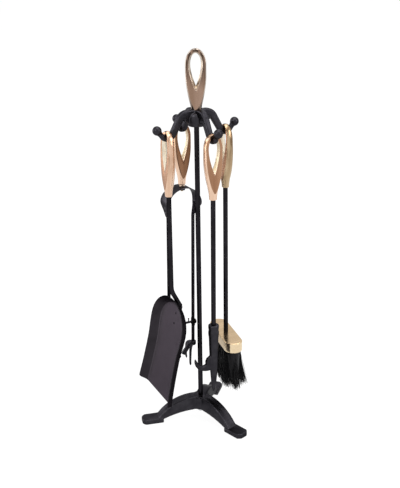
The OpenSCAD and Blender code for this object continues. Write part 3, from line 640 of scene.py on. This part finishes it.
def arm_path():
    """An arm's middle line in (distance from the axis, height), and its ball's middle."""
    c, s = unit(SLOPE)
    low = (TROUGH[0] - TROUGH_BEND * s, TROUGH[1] - TROUGH_BEND * c)
    high_r = CREST_R + CREST_BEND * s
    high = (high_r, low[1] + (low[0] - high_r) / c * s)
    crest = (CREST_R, high[1] - CREST_BEND * c)
    tc, ts = unit(TIP_SLOPE)
    tip = (TROUGH[0] + TROUGH_BEND * ts, TROUGH[1] - TROUGH_BEND * tc)
    ball = (tip[0] + TIP_LEN * tc, tip[1] + TIP_LEN * ts)
    path = [(5, crest[1] + CREST_BEND - 0.5), (12, crest[1] + CREST_BEND)]
    path += arc(*crest, CREST_BEND, 90, 90 - SLOPE, 7)
    path += [mix_point(high, low, k / 4) for k in (1, 2, 3)]
    path += arc(*TROUGH, TROUGH_BEND, 270 - SLOPE, 270 + TIP_SLOPE, 10)
    path += [mix_point(tip, ball, k / 3) for k in (1, 2, 3)]
    return path, ball


def rack_shape():
    path, ball = arm_path()
    outlines = []
    for k in range(len(path)):
        share = k / (len(path) - 1)
        depth = np.interp(share, [0, 0.35, 0.5, 0.62, 0.86, 1], [14.5, 14.2, 12.6, 11, 10.4, 8.0])
        width = np.interp(share, [0, 0.35, 0.62, 0.86, 1], [13.0, 11.8, 11.0, 10.2, 8.0])
        corner = 3.0 if share < 0.8 else 3.6
        outlines.append(rounded_rect(width / 2, depth / 2, corner))
    ball_r = BALL_D / 2
    knob = dome(ball_r, ball_r, range(6, 150, 12)) + [(ball_r * f, -ball_r * g) for f, g in BALL_NECK]
    knob_place = Matrix.Translation((ball[0], 0, ball[1])) @ turned(90 - TIP_SLOPE, "Y")
    web = [(u * 0.9, v) for u, v in rounded_rect(5.2, 7.5, 2.5)]
    web_path = [(4, 0, RACK_Z + 13), (15, 0, RACK_Z + 14), (25, 0, RACK_Z + 18)]
    whole = Shape()
    for side in (0, 90, 180, 270):
        arm = Shape(sweep([(r, 0, z) for r, z in path], outlines))
        arm.add(Shape(lathe(knob, 28)).moved(knob_place))
        arm.add(Shape(sweep(web_path, [web] * len(web_path))))
        whole.add(arm.moved(turned(side, "Z")))
    whole.add(Shape(lathe([(r, RACK_Z + z) for r, z in HUB])))
    return whole


shape_piece("rack", rack_shape(), "stand", "rack_casting", "cast_iron", CAST_BLACK, cast=(0.7, 5))


# -------- base
# r is the distance from the axis along a leg.

FOOT_REACH, PAD_LEN, PAD_W, PAD_T, PAD_CORNER = 128.0, 44.5, 29.0, 10.4, 6.3
LEG_W, ARCH_H, ARCH_END, ARCH_FROM, LEG_END = 24.0, 20.5, 5.0, 12.0, 88.0
BACK_R, BACK_AT = 98.0, 15.0
BEVEL, GROOVE, GROOVE_IN = 1.6, 0.7, 4  # along a leg's back
BASE_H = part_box("base_casting")[1].z / MM
LEG_TURN = 15
LEG_STATIONS = [-9] + [k * 4.4 for k in range(21)]


def leg_top(r):
    back_z = BASE_H - 0.5 - BACK_R
    return max(back_z + math.sqrt(max(0, BACK_R ** 2 - max(0, r - BACK_AT) ** 2)), PAD_T)


def leg_under(r):
    if r < ARCH_FROM:
        return ARCH_H
    arch_r = ((LEG_END - ARCH_FROM) ** 2 + (ARCH_H - ARCH_END) ** 2) / (2 * (ARCH_H - ARCH_END))
    return ARCH_H - arch_r + math.sqrt(arch_r ** 2 - (r - ARCH_FROM) ** 2)


def leg_section(r, low, h, groove):
    """A leg's outline at r, from low up to h, with a groove along the middle of its back."""
    w = LEG_W / 2
    half = [(-w, low), (-w, h - BEVEL), (-w + BEVEL, h), (-w + GROOVE_IN, h)]
    return [(r, y, z) for y, z in [*half, (0, h - groove), *((-y, z) for y, z in half[::-1])]]


def leg_shape():
    rings = [leg_section(r, leg_under(max(r, 0)), leg_top(abs(r)), GROOVE) for r in LEG_STATIONS]
    rings += [leg_section(r, 1.0, max(PAD_T - 0.3, leg_top(r)), 0) for r in (LEG_END + 2.5, LEG_END + 7)]
    a, b, w, c = FOOT_REACH - PAD_LEN, FOOT_REACH, PAD_W / 2, PAD_CORNER
    outline = [(a, -w + 1), (a + 1, -w), (b - c, -w), (b - 1.5, -w + c - 1.5), (b, -w + c + 1.5)]
    outline += [(x, -y) for x, y in outline[::-1]]

    def inset(g, z):
        mid = (a + b) / 2
        return [(mid + (x - mid) * (1 - g / (PAD_LEN / 2)), y * (1 - g / w), z) for x, y in outline]

    pad = Shape([inset(1.0, 0), inset(0, 0.9), inset(0, PAD_T - 1.5), inset(1.4, PAD_T)])
    return Shape(rings).add(pad)


def base_shape():
    whole = Shape()
    for k in range(3):
        whole.add(leg_shape().moved(turned(LEG_TURN + 120 * k, "Z")))
    boss = [(1, ARCH_H), (17, ARCH_H), (18.4, ARCH_H + 1.5), (18.4, BASE_H - 3.5)]
    boss += [(14, BASE_H - 0.8), (8.5, BASE_H), (1, BASE_H)]
    return whole.add(Shape(lathe(boss)))


shape_piece("base", base_shape(), "stand", "base_casting", "cast_iron", CAST_BLACK, cast=(0.85, 2))


# -------- shovel pan
# u runs down the pan, from the top of its rim to its lip.

PAN_DROP, PAN_INSET, PAN_ASIDE, PAN_TURN, PAN_TILT = 327.5, 1.6, -3.5, -2.5, 13.6
PAN_LEN, PAN_W, PAN_WAIST, PAN_LIP, PAN_DEPTH, PAN_FLARE, SHEET = 212.0, 144.0, 134.0, 147.0, 16.0, 10.4, 1.5
RIM_START, ROUND_LEN, LIP_CORNER = 4.5, 57.6, 11.0
WIDE = RIM_START + ROUND_LEN
WAIST_AT = WIDE + 53
FILLET_IN, FILLET_UP, FILLET_RISE = 5.5, 3.0, 4.6  # between the floor and the wall
LIP_ZONE, SIDE_STEPS = 19, 18
SPINE_FROM = 46.0  # the floor's middle points start no higher than this
ROUND_ANGLES = (3, 7, 12, 17, 22, 28, 34, 40, 46, 52, 58, 64, 70, 76, 82)
NEAR_LIP = (16, 13, 11, 9, 7, 5, 3.4, 2.2, 1.2, 0.5, 0)
FLOOR_SHARES, WALL_STRIP = (0, 0.2, 0.4, 0.6, 0.8), 7  # the walls' darker painted-shade copy starts at this strip of a column
in_pan = hung("shovel") @ shifted(-PAN_INSET, PAN_ASIDE, -PAN_DROP) @ turned(PAN_TURN, "Z") @ turned(-PAN_TILT, "Y")


def pan_side(u):
    if u < WAIST_AT:
        return PAN_WAIST / 2 + (PAN_W - PAN_WAIST) / 4 * (1 + math.cos(math.pi * (u - WIDE) / (WAIST_AT - WIDE)))
    return PAN_WAIST / 2 + (PAN_LIP - PAN_WAIST) / 2 * ((u - WAIST_AT) / (PAN_LEN - WAIST_AT)) ** 2


def pan_edge(station, inset):
    """(u, half width) of the pan's outline, moved in."""
    if station[0] == "round":
        a = math.radians(station[1])
        return WIDE - (ROUND_LEN - inset) * math.cos(a), (PAN_W / 2 - inset) * math.sin(a)
    return station[1], pan_side(station[1]) - inset


def pan_wall():
    """(inset, height) points from the floor over a soft fillet to the rim."""
    fillet = []
    for t in (0, 0.2, 0.4, 0.6, 0.8, 1):
        inset = mix(mix(PAN_FLARE + FILLET_IN, PAN_FLARE, t), mix(PAN_FLARE, PAN_FLARE - FILLET_UP, t), t)
        fillet.append((inset, -PAN_DEPTH + FILLET_RISE * t * t))
    return fillet + [mix_point(fillet[-1], (0, 0), t) for t in (0.25, 0.5, 0.75, 0.93, 1)] + [(-0.5, 0.25)]


def pan_shape():
    half = [("round", a) for a in ROUND_ANGLES]
    sides = [*np.linspace(WIDE, PAN_LEN - LIP_ZONE, SIDE_STEPS), *(PAN_LEN - np.array(NEAR_LIP))]
    half += [("side", u) for u in sides]
    stations = [(s, -1) for s in half[::-1]] + [(("round", 0), 0)] + [(s, 1) for s in half]
    wall = pan_wall()
    last = len(wall) - 1
    verts = []
    for station, side in stations:
        down = station[1] if station[0] == "side" else 0
        # the share of the wall that stands; it runs out round the lip's corner
        standing = math.sqrt(max(0, 1 - max(0, 1 - (PAN_LEN - down) / LIP_CORNER) ** 2))
        foot_u, foot_h = pan_edge(station, wall[0][0])
        spine_u = max(foot_u, SPINE_FROM)
        verts += [(-PAN_DEPTH, side * foot_h * q, -mix(spine_u, foot_u, q)) for q in FLOOR_SHARES]
        for k in range(len(wall)):
            at = standing * k
            i = min(int(at), last - 1)
            inset, n = mix_point(wall[i], wall[i + 1], at - i)
            u, h = pan_edge(station, inset)
            verts.append((n, side * h, -u))
    size = len(FLOOR_SHARES) + len(wall)
    faces = rings_to_faces(len(stations), size, wrap=False, caps=False)
    return verts, faces, [1 if k % (size - 1) >= WALL_STRIP else 0 for k in range(len(faces))]


pan_verts, pan_faces, pan_kinds = pan_shape()
pan_obj = mesh_object("pan", pan_verts, pan_faces, weld=0.01, kinds=pan_kinds)
if sum(p.normal.x * p.area for p in pan_obj.data.polygons) < 0:
    pan_obj.data.flip_normals()
pan_obj.data.transform(in_pan)
thicken = pan_obj.modifiers.new("sheet", "SOLIDIFY")
thicken.thickness = SHEET * MM
thicken.offset = -1
thicken.use_even_offset = True
round_rim = pan_obj.modifiers.new("rim", "BEVEL")
round_rim.width = 0.45 * MM
round_rim.segments = 2
round_rim.limit_method = "ANGLE"
round_rim.angle_limit = math.radians(50)
bake_modifiers(pan_obj)
# floor faces take the painted-light copy, wall faces the painted-shade copy
finish_piece(pan_obj, "shovel", "shovel_pan", "pan_sheet", PAN_FLOOR_LIT, PAN_WALL_SHADED)


# -------- poker head

POKER_DROP, HEAD_SWELL = 376.0, 1.12
POKER_PROFILE = [
    (4.9, 0.0), (8.3, 0.0), (9.3, -0.9), (9.7, -2.4), (9.6, -7.5), (9.1, -10.5), (9.0, -12.5), (9.6, -15.0),
    (9.8, -18.0), (9.5, -22.5), (8.9, -27.0), (8.6, -34.0), (8.5, -44.0), (8.1, -56.0), (7.7, -66.0), (7.5, -78.0),
    (7.3, -90.0), (7.0, -100.0), (6.3, -107.0), (5.8, -116.0), (5.1, -126.0), (4.1, -136.0), (3.0, -144.0),
    (1.8, -149.5), (0.6, -152.0),
]
BARB = [
    # y, z, half height, half thickness
    (2, -85.5, 21.5, 3.6), (-5, -85.6, 19.5, 4.6), (-8.5, -86.6, 16.6, 4.7), (-10.5, -88.2, 13.2, 4.7),
    (-13, -90.0, 10.2, 4.6), (-16, -91.4, 8.2, 4.5), (-20.5, -91.6, 6.8, 4.4), (-25.5, -90.8, 5.8, 4.3),
    (-30.0, -89.0, 5.1, 4.1), (-34.2, -85.8, 4.6, 3.8), (-37.4, -81.8, 4.1, 3.5), (-39.8, -77.2, 3.5, 3.1),
    (-41.4, -72.5, 2.6, 2.5), (-42.3, -68.4, 1.3, 1.4), (-42.6, -66.6, 0.5, 0.6),
]
LUMPS = ((-7.6, -75.0, 40, 2.4), (-10.5, -81.0, 52, 2.1))  # y, z, tilt and radius, where the barb grows out
LUMP_HALF = 4.6


def poker_shape():
    whole = Shape(lathe([(r * HEAD_SWELL if z else r, z) for r, z in POKER_PROFILE], 36))
    outlines = [rounded_rect(t, h, min(t, h) * 0.8) for _, _, h, t in BARB]
    whole.add(Shape(sweep([(0, y, z) for y, z, _, _ in BARB], outlines, side=(1, 0, 0))))
    for y, z, tilt, size in LUMPS:
        lump = Shape(lathe(dome(size, LUMP_HALF, range(8, 180, 16)), 16)).moved(turned(90, "Y"))
        whole.add(lump.moved(Matrix.Translation((0, y, z)) @ turned(tilt, "X")))
    return whole.moved(Matrix.Translation((0, 0, -POKER_DROP)))


shape_piece(
    "poker_point", poker_shape(), "poker", "poker_head", "cast_iron", CAST_BLACK, hung("poker"), cast=(0.55, 3)
)


# -------- brush

BRUSH_DROP, BRUSH_TURN = 432.5, -11.0
COVER_LEN, COVER_W, COVER_H, COVER_T = 129.0, 37.4, 21.6, 1.2
COVER_PROFILE = [
    # inset, height: over the top's edge, down the wall, back up inside it
    (3.5, 0), (1.5, 0), (1.1, -0.06), (0.6, -0.28), (0.25, -0.65), (0.05, -1.2), (0, -1.8), (0, -5), (0, -16),
    (0, -19.4), (0.1, -20.1), (0.35, -20.7), (0.7, -21), (1.1, -20.8), (1.2, -20.2), (1.2, -12), (1.3, -2.0),
    (1.6, -1.5), (3.5, -1.3),
]
TUFT_PITCH, TUFT_D, BLOCK_T, BRISTLE_OUT = 9.6, 8.0, 15.0, 84.0
HALF_ACROSS, HALF_ALONG = 14, 5.8 * TUFT_PITCH  # about half the bundle's size at its root
FILAMENTS, FILAMENT_STEPS = 150, 6  # in a tuft, and along a filament
SPREAD_X, SPREAD_Y, SHORT_SHARE, STRAY_SHARE = 1.12, 1.08, 0.16, 0.05
CORE = ((-15, 5.5), (-30, 5.6), (-60, 6.2), (-80, 8.0), (-88, 11.0))  # height, inset of the dark mass inside
in_brush = hung("brush") @ shifted(0, 0, -BRUSH_DROP) @ turned(BRUSH_TURN, "Z")


def stadium_ring(inset, z, per_end=26, per_side=10):
    r = COVER_W / 2 - inset
    half = (COVER_LEN - COVER_W) / 2
    turns = [math.pi * k / per_end for k in range(per_end + 1)]
    ring = [(r * math.cos(a), half + r * math.sin(a), z) for a in turns]
    ring += [(-r, mix(half, -half, k / per_side), z) for k in range(1, per_side)]
    ring += [(-x, -y, z) for x, y, z in ring[: per_end + per_side]]
    return ring


cover = Shape([stadium_ring(*p) for p in COVER_PROFILE])


def cover_kind(face):
    """0 on the top, 1 on the rounded ends, 2 on the straight flanks."""
    x, y, z = (sum(cover.verts[i][j] for i in face) / len(face) for j in range(3))
    if not -COVER_H < z < -COVER_T:
        return 0
    return 2 if abs(x) > COVER_W / 2 - 1 and abs(y) < (COVER_LEN - COVER_W) / 2 else 1


cover_kinds = [cover_kind(face) for face in cover.faces]
cover_obj = mesh_object("gilt_cover", cover.verts, cover.faces, in_brush, kinds=cover_kinds)
# the cover's rounded ends take the painted-light copy and its flanks the painted-shade copy
finish_piece(cover_obj, "brush", "brush_cover", "pale_gold", PALE_GOLD, PALE_ENDS_LIT, PALE_FLANKS_SHADED)


def bristle_shape():
    """Filaments in round tufts that flare out towards the ends and the outer side, a few short or astray."""
    verts, faces = [], []

    def filament_at(x, y, tip_x, tip_y, tip_z, bow_x, bow_y, thick):
        base = len(verts)
        for k in range(FILAMENT_STEPS + 1):
            s = k / FILAMENT_STEPS
            z = mix(-COVER_T - BLOCK_T + 3, tip_z, s)
            arch = math.sin(math.pi * s)
            cx = mix(x, tip_x, s ** 1.5) + bow_x * arch
            cy = mix(y, tip_y, s ** 1.5) + bow_y * arch
            r = thick * (1 - 0.45 * s)
            for j in range(3):
                a = 2 * math.pi * j / 3 + x
                verts.append((cx + r * math.cos(a), cy + r * math.sin(a), z))
        faces.extend(rings_to_faces(FILAMENT_STEPS + 1, 3, base=base))

    bottom = -COVER_H - BRISTLE_OUT
    for row, i in ((row, i) for row in (-1, 0, 1) for i in range(-5, 6)):
        if row and abs(i) > 4:
            continue
        for _ in range(FILAMENTS):
            a, r = RNG.uniform(0, 2 * math.pi), TUFT_D / 2 * math.sqrt(RNG.random())
            x = (row * TUFT_PITCH + r * math.cos(a)) * SPREAD_X
            y = (i * TUFT_PITCH + r * math.sin(a)) * SPREAD_Y
            side, ends = x / HALF_ACROSS, y / HALF_ALONG
            tip_x = x * 1.45 + 7.5 * max(0, side) ** 2 * (0.6 - 0.4 * ends) + RNG.gauss(0, 2.0)
            tip_y = y + 7.0 * ends + (7.0 * abs(ends) ** 3 if y < 0 else 0) * ends + RNG.gauss(0, 2.8)
            tip_z = bottom + 1 + abs(RNG.gauss(0, 4.0)) + 2.0 * side ** 2
            if RNG.random() < SHORT_SHARE:
                tip_z += RNG.uniform(2, 16)
            bow_x, bow_y = RNG.gauss(0, 0.5) + 0.06 * x, RNG.gauss(0, 0.6)
            if RNG.random() < STRAY_SHARE:
                tip_x += RNG.uniform(-9, 5)
                tip_y += RNG.gauss(0, 8) + 10 * ends
            filament_at(x, y, tip_x, tip_y, tip_z, bow_x, bow_y, RNG.uniform(0.22, 0.40))
    core = [stadium_ring(inset, z, 12, 6) for z, inset in CORE]
    base = len(verts)
    verts += [p for ring in core for p in ring]
    faces += rings_to_faces(len(core), len(core[0]), base=base)
    return verts, faces


bristle_obj = mesh_object("bristle_bundle", *bristle_shape(), in_brush)
finish_piece(bristle_obj, "brush", "brush_bristles", "bristle", FILAMENT)


# -------- tongs

BOW_R, BOW_T, BOW_PAST, SPACER_H = 31.2, 1.6, 7.5, 3.2
LEG_Y, LEG_D, TANG_REACH, BAR_DROP = 24.87, 7.0, 29.0, 424.5
TANG_IN = 2.4  # the flat end of a leg lies this far inside the strip
CLAW_DROP, PALM_H, CLAW_TURN, TOE_SPREAD = 469.5, 10.0, -14.0, 61.0
in_tongs = hung("tongs")
NECK_Z = CROWN_T - HANDLE_LEN
BOW_Z = NECK_Z - SPACER_H - BOW_T / 2 - BOW_R
PAST_COS, PAST_SIN = unit(BOW_PAST)
LEFT_OUT = 7.0  # the left leg hangs this much wider than the right one
RIGHT_TWIST = -6.0  # the strip's right side leans towards the column
STRIP_W, STRIP_TOP_W, STRIP_TAPER = 40, 35, 16  # width at its sides and top, and its loss per BOW_R below them
TAIL = [
    # distance down the strip's end, width there
    (2, 36), (4, 33.5), (7, 29.0), (10, 24.8), (13, 21.0), (16, 17.4), (19, 14.4), (21.5, 12.3), (23.5, 10.6),
    (24.6, 8.2), (25.0, 5.0),
]


def tail_point(d, inward=0.0, out=0.0):
    """(y, z) at a distance down the strip's straight end on the left."""
    y = BOW_R * PAST_COS + out - PAST_SIN * d - PAST_COS * inward
    return y, BOW_Z - BOW_R * PAST_SIN - PAST_COS * d + PAST_SIN * inward


def bow_shape():
    """The spring strip, from its right end over the top to its left end."""
    path = []  # (x, y, z) and the strip's width
    for d, w in TAIL[::-1]:
        y, z = tail_point(d)
        path.append(((RIGHT_TWIST * max(0, 1 - d / 16), -y, z), w))
    for y, z in arc(0, BOW_Z, BOW_R, 180 + BOW_PAST, -BOW_PAST, 64):
        height = (z - BOW_Z) / BOW_R
        if height > 0:
            w = mix(STRIP_TOP_W, STRIP_W, (1 + math.cos(math.pi * min(1, height))) / 2)
        else:
            w = STRIP_W + STRIP_TAPER * height
        wide = y * (1 + LEFT_OUT / (BOW_R * PAST_COS)) if y > 0 else y
        path.append(((RIGHT_TWIST * max(0, -y / BOW_R), wide, z), w))
    for d, w in TAIL:
        path.append(((0, *tail_point(d, out=LEFT_OUT)), w))
    outlines = [rounded_rect(w / 2, BOW_T / 2, 0.65, 3) for _, w in path]
    return Shape(sweep([p for p, _ in path], outlines, side=(1, 0, 0)))


shape_piece("spring_strip", bow_shape(), "tongs", "tongs_bow", "black_steel", STRIP_BLACK, in_tongs)


def hexagon(flats, z):
    r = flats / 2 / math.cos(math.pi / 6)
    angles = [math.pi * (2 * k + 1) / 6 for k in range(6)]
    return [(r * math.cos(a), r * math.sin(a), z) for a in angles]


# the nut under the strip, and the gilt end of the stud that comes out of it
nut_top = BOW_Z + BOW_R - BOW_T / 2
nut_rings = [hexagon(w, nut_top + z) for w, z in ((12.6, 0.2), (13.0, -0.2), (13.0, -5.6), (12.4, -6.3), (9.5, -6.8))]
nut = Shape(nut_rings)
nut_faces = len(nut.faces)
stud = [(0.6, nut_top - 9.2), (2.2, nut_top - 9.0), (2.9, nut_top - 8.2), (3.0, nut_top - 6.0), (3.0, NECK_Z + 1)]
nut.add(Shape(lathe(stud, 24)))
nut_kinds = [0] * nut_faces + [1] * (len(nut.faces) - nut_faces)
nut_obj = mesh_object("strip_nut", nut.verts, nut.faces, in_tongs, kinds=nut_kinds)
shade_smooth(nut_obj.data, False)
finish_piece(nut_obj, "tongs", "tongs_bolt", "black_steel", BAR_BLACK, PALE_GOLD)


def left_leg_shape():
    """The left leg: a flat tang along the strip's end that swells into a round rod."""
    flat, rod = (4.7, 1.5, 0.7), (LEG_D / 2, LEG_D / 2, LEG_D / 2 - 0.02)  # half width, half thickness, corner
    path = [tail_point(d, TANG_IN, LEFT_OUT) for d in (1.0, 1.6, 6, 12, 18, 23, 25)]
    outlines = [(3.6, 1.1, 0.7)] + [flat] * (len(path) - 1)
    tang_end = path[-1]
    end = tail_point(TANG_REACH, TANG_IN, LEFT_OUT)
    for share in (0.3, 0.6, 0.9, 1.0):
        path.append(mix_point(tang_end, (end[0], end[1] - 3), share))
        outlines.append(tuple(mix(f, r, share) for f, r in zip(flat, rod)))
    for z in np.linspace(end[1] - 8, -CLAW_DROP - 3, 24):
        path.append((end[0], float(z)))
        outlines.append(rod)
    return Shape(sweep([(0, y, z) for y, z in path], [rounded_rect(*o, 5) for o in outlines], side=(1, 0, 0)))


shape_piece("rod_left", left_leg_shape(), "tongs_left", "left_leg", "black_steel", BAR_BLACK, in_tongs)

RIVET = [
    (0.2, 1.3), (1.0, 1.2), (1.9, 0.85), (2.6, 0.3), (2.8, 0.0), (1.5, -0.1), (1.5, -4.5), (2.8, -4.6), (2.6, -4.9),
    (1.9, -5.45), (1.0, -5.8), (0.2, -5.9),
]


def left_rivets_shape():
    whole = Shape()
    for d in (6, 17):
        y, z = tail_point(d, -BOW_T / 2 - 0.02, LEFT_OUT)
        place = Matrix.Translation((0, y, z)) @ turned(-90 - BOW_PAST, "X")
        whole.add(Shape(lathe(RIVET, 20)).moved(place))
    return whole


shape_piece(
    "rivets_left", left_rivets_shape(), "tongs_left", "left_leg_rivets", "rivet_steel", STRIP_BLACK, in_tongs
)


def guide_bar_shape():
    """A bar from a head outside the right leg to a riveted end outside the left one."""
    right, left = -LEG_Y - LEG_D / 2 - 0.3, LEG_Y + LEFT_OUT + LEG_D / 2
    profile = [(0.4, right - 2.4), (4.6, right - 2.4), (5.4, right - 1.8), (5.4, right - 0.5), (4.9, right)]
    profile += [(2.5, right), (2.5, -4), (3.2, 0), (3.2, left)]
    profile += [(4.2, left), (4.4, left + 0.5), (4.0, left + 1.6), (3.2, left + 2.4), (0.4, left + 2.5)]
    return Shape(lathe(profile, 26)).moved(Matrix.Translation((0, 0, -BAR_DROP)) @ turned(-90, "X"))


shape_piece("cross_bar", guide_bar_shape(), "tongs_left", "guide_bar", "black_steel", BAR_BLACK, in_tongs)

RIB_PITCH, RIB_DEPTH, RIBS_FROM, TIP_FROM = 3.6, 0.16, 0.22, 0.93


def toe(path, width, tip_width, thick, tip_thick):
    """A toe along (x, z) points, ribbed across like a casting that grips."""
    total = sum(math.dist(path[k], path[k + 1]) for k in range(len(path) - 1))
    run, outlines = 0.0, []
    for k, p in enumerate(path):
        if k:
            run += math.dist(p, path[k - 1])
        share = run / total
        w = mix(width, tip_width, share) / 2
        t = mix(thick, tip_thick, share) / 2
        if share > RIBS_FROM:
            t *= 1 + RIB_DEPTH * math.sin(2 * math.pi * run / RIB_PITCH)
        if share > TIP_FROM:
            w *= math.sqrt(max(0.08, 1 - ((share - TIP_FROM) / (1 - TIP_FROM)) ** 2))
            t *= 0.85
        outlines.append(rounded_rect(w, t, min(w, t) * 0.75, 3))
    return Shape(sweep([(x, 0, z) for x, z in path], outlines))


def finely(points, step=1.1):
    """The same path with points about a step apart."""
    path = [points[0]]
    for a, b in zip(points, points[1:]):
        count = max(1, int(math.dist(a, b) / step))
        path += [mix_point(a, b, k / count) for k in range(1, count + 1)]
    return path


MID_TOE = finely([(-3, 0.0), (2, -0.4)] + arc(2.0, -8.4, 8, 90, 34, 8) + [(22.5, -26.0)])
SIDE_TOE = [(-3, 0.0), (6, -0.3)] + arc(8, -13.5, 13.5, 90, 6, 16) + [(22.6, -27)]
SIDE_TOE = finely(SIDE_TOE + arc(-17.2, -31.0, 40, 5, -20, 10))
# turn in spreads, path, width at root and tip, thickness at root and tip
TOES = (
    (0, MID_TOE, 10.5, 9.0, 8.5, 9.2),
    (-1, SIDE_TOE, 6.6, 4.4, 4.2, 2.6),
    (1, SIDE_TOE, 6.6, 4.4, 4.2, 2.6),
)
PALM = [(0.8, 0), (5.4, 0), (6.3, -0.9), (6.5, -2.5), (6.5, -7.0), (5.8, -9.2), (4.0, -10.4), (0.8, -10.6)]


def claw_shape(s, out):
    whole = Shape(lathe(PALM, 28))
    for k, *size in TOES:
        one = toe(*size).moved(Matrix.Translation((0, 0, -PALM_H / 2)))
        whole.add(one.moved(turned(-s * 90 + CLAW_TURN + k * TOE_SPREAD, "Z")))
    return whole.moved(Matrix.Translation((0, s * LEG_Y + out, -CLAW_DROP)))


for side, s, out in (("left", 1, LEFT_OUT), ("right", -1, 0)):
    shape_piece(
        f"gripper_{side}", claw_shape(s, out), f"tongs_{side}", f"{side}_claw", "black_steel", CAST_BLACK,
        in_tongs, cast=(0.45, 2),
    )


# -------- CAD nodes that stay

KEPT = {
    BAR_BLACK: (
        "column", "shovel_shaft", "poker_shaft", "brush_shaft", "right_leg", "shovel_rivets", "right_leg_rivets",
        "guide_peg",
    ),
    ZINC: ("base_washer", "base_nut", "brush_nut"),
    ROSE_GOLD: ("tongs_spacer",),
    BEECH: ("brush_block",),
}
for mat, names in KEPT.items():
    for name in names:
        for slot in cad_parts[name].material_slots:
            slot.material = mat


# -------- studio


def white_seen(tree, shader_socket, out_socket, share, strength=1.0):
    """Shows a share of plain white to the camera, gloss and glass, and the real shader to everything else."""
    ray = tree.nodes.new("ShaderNodeLightPath").outputs
    either = maths(tree, "MAXIMUM", ray["Is Camera Ray"], ray["Is Glossy Ray"])
    any_of = maths(tree, "MAXIMUM", either, ray["Is Transmission Ray"])
    fac = maths(tree, "MULTIPLY", any_of, share)
    glow = tree.nodes.new("ShaderNodeEmission" if out_socket.node.type == "OUTPUT_MATERIAL" else "ShaderNodeBackground")
    glow.inputs["Color"].default_value = (1, 1, 1, 1)
    glow.inputs["Strength"].default_value = strength
    both = tree.nodes.new("ShaderNodeMixShader")
    tree.links.new(fac, both.inputs[0])
    tree.links.new(shader_socket, both.inputs[1])
    tree.links.new(glow.outputs[0], both.inputs[2])
    tree.links.new(both.outputs[0], out_socket)


def floor_plane(half, grey, white_share, white_strength):
    mat = bpy.data.materials.new("studio_floor")
    tree, out = fresh_tree(mat, "ShaderNodeOutputMaterial")
    diffuse = tree.nodes.new("ShaderNodeBsdfDiffuse")
    diffuse.inputs["Color"].default_value = (grey, grey, grey, 1)
    white_seen(tree, diffuse.outputs[0], out.inputs[0], white_share, white_strength)
    mesh = bpy.data.meshes.new("studio_floor")
    mesh.from_pydata([(-half, -half, 0), (half, -half, 0), (half, half, 0), (-half, half, 0)], [], [(0, 1, 2, 3)])
    mesh.materials.append(mat)
    new_object("studio_floor", mesh)


def world_light(strength):
    world = bpy.data.worlds.new("studio")
    bpy.context.scene.world = world
    tree, out = fresh_tree(world, "ShaderNodeOutputWorld")
    sky = tree.nodes.new("ShaderNodeBackground")
    sky.inputs["Color"].default_value = (1, 1, 1, 1)
    sky.inputs["Strength"].default_value = strength
    white_seen(tree, sky.outputs[0], out.inputs[0], 1.0)


def softbox(name, at, size, power):
    light = bpy.data.lights.new(name, "AREA")
    light.shape = "RECTANGLE"
    light.size, light.size_y = size
    light.energy = power
    obj = new_object(name, light)
    aim = LIT_POINT - Vector(at)
    obj.matrix_world = Matrix.Translation(at) @ aim.to_track_quat("-Z", "Y").to_matrix().to_4x4()


# solved from the photograph; metres, and a lens in millimetres
EYE = Vector((1.36217, -0.72775, 0.9521))
HEADING, PITCH, ROLL = (math.radians(a) for a in (61.766, 20.05, -0.84))
LENS, SENSOR = 60.99, 36
LIT_POINT = Vector((0, 0, 0.4))


def camera():
    right = Vector((math.cos(HEADING), math.sin(HEADING), 0))
    ahead = Vector((-math.sin(HEADING), math.cos(HEADING), 0))
    up = Vector((0, 0, 1))
    forward = ahead * math.cos(PITCH) - up * math.sin(PITCH)
    level_up = ahead * math.sin(PITCH) + up * math.cos(PITCH)
    cam_right = right * math.cos(ROLL) + level_up * math.sin(ROLL)
    cam_up = level_up * math.cos(ROLL) - right * math.sin(ROLL)
    data = bpy.data.cameras.new("camera")
    data.lens = LENS
    data.sensor_width = SENSOR
    obj = new_object("camera", data)
    pose = Matrix((cam_right, cam_up, -forward)).transposed().to_4x4()
    obj.matrix_world = Matrix.Translation(EYE) @ pose
    bpy.context.scene.camera = obj


camera()
floor_plane(half=40.0, grey=0.86, white_share=0.85, white_strength=1.10)
world_light(0.55)
# place in metres, width and height, watts
softbox("left", (-1.9, -1.8, 0.9), (1.8, 1.8), 34)
softbox("front", (0.9, -2.6, 2.3), (1.2, 1.6), 26)
softbox("right", (2.0, 1.5, 1.5), (1.0, 1.8), 22)
softbox("top", (0.3, 0.2, 3.0), (2.2, 2.2), 42)
softbox("back", (-1.6, 1.6, 2.9), (1.6, 1.6), 22)

bpy.context.scene.view_settings.view_transform = "Standard"
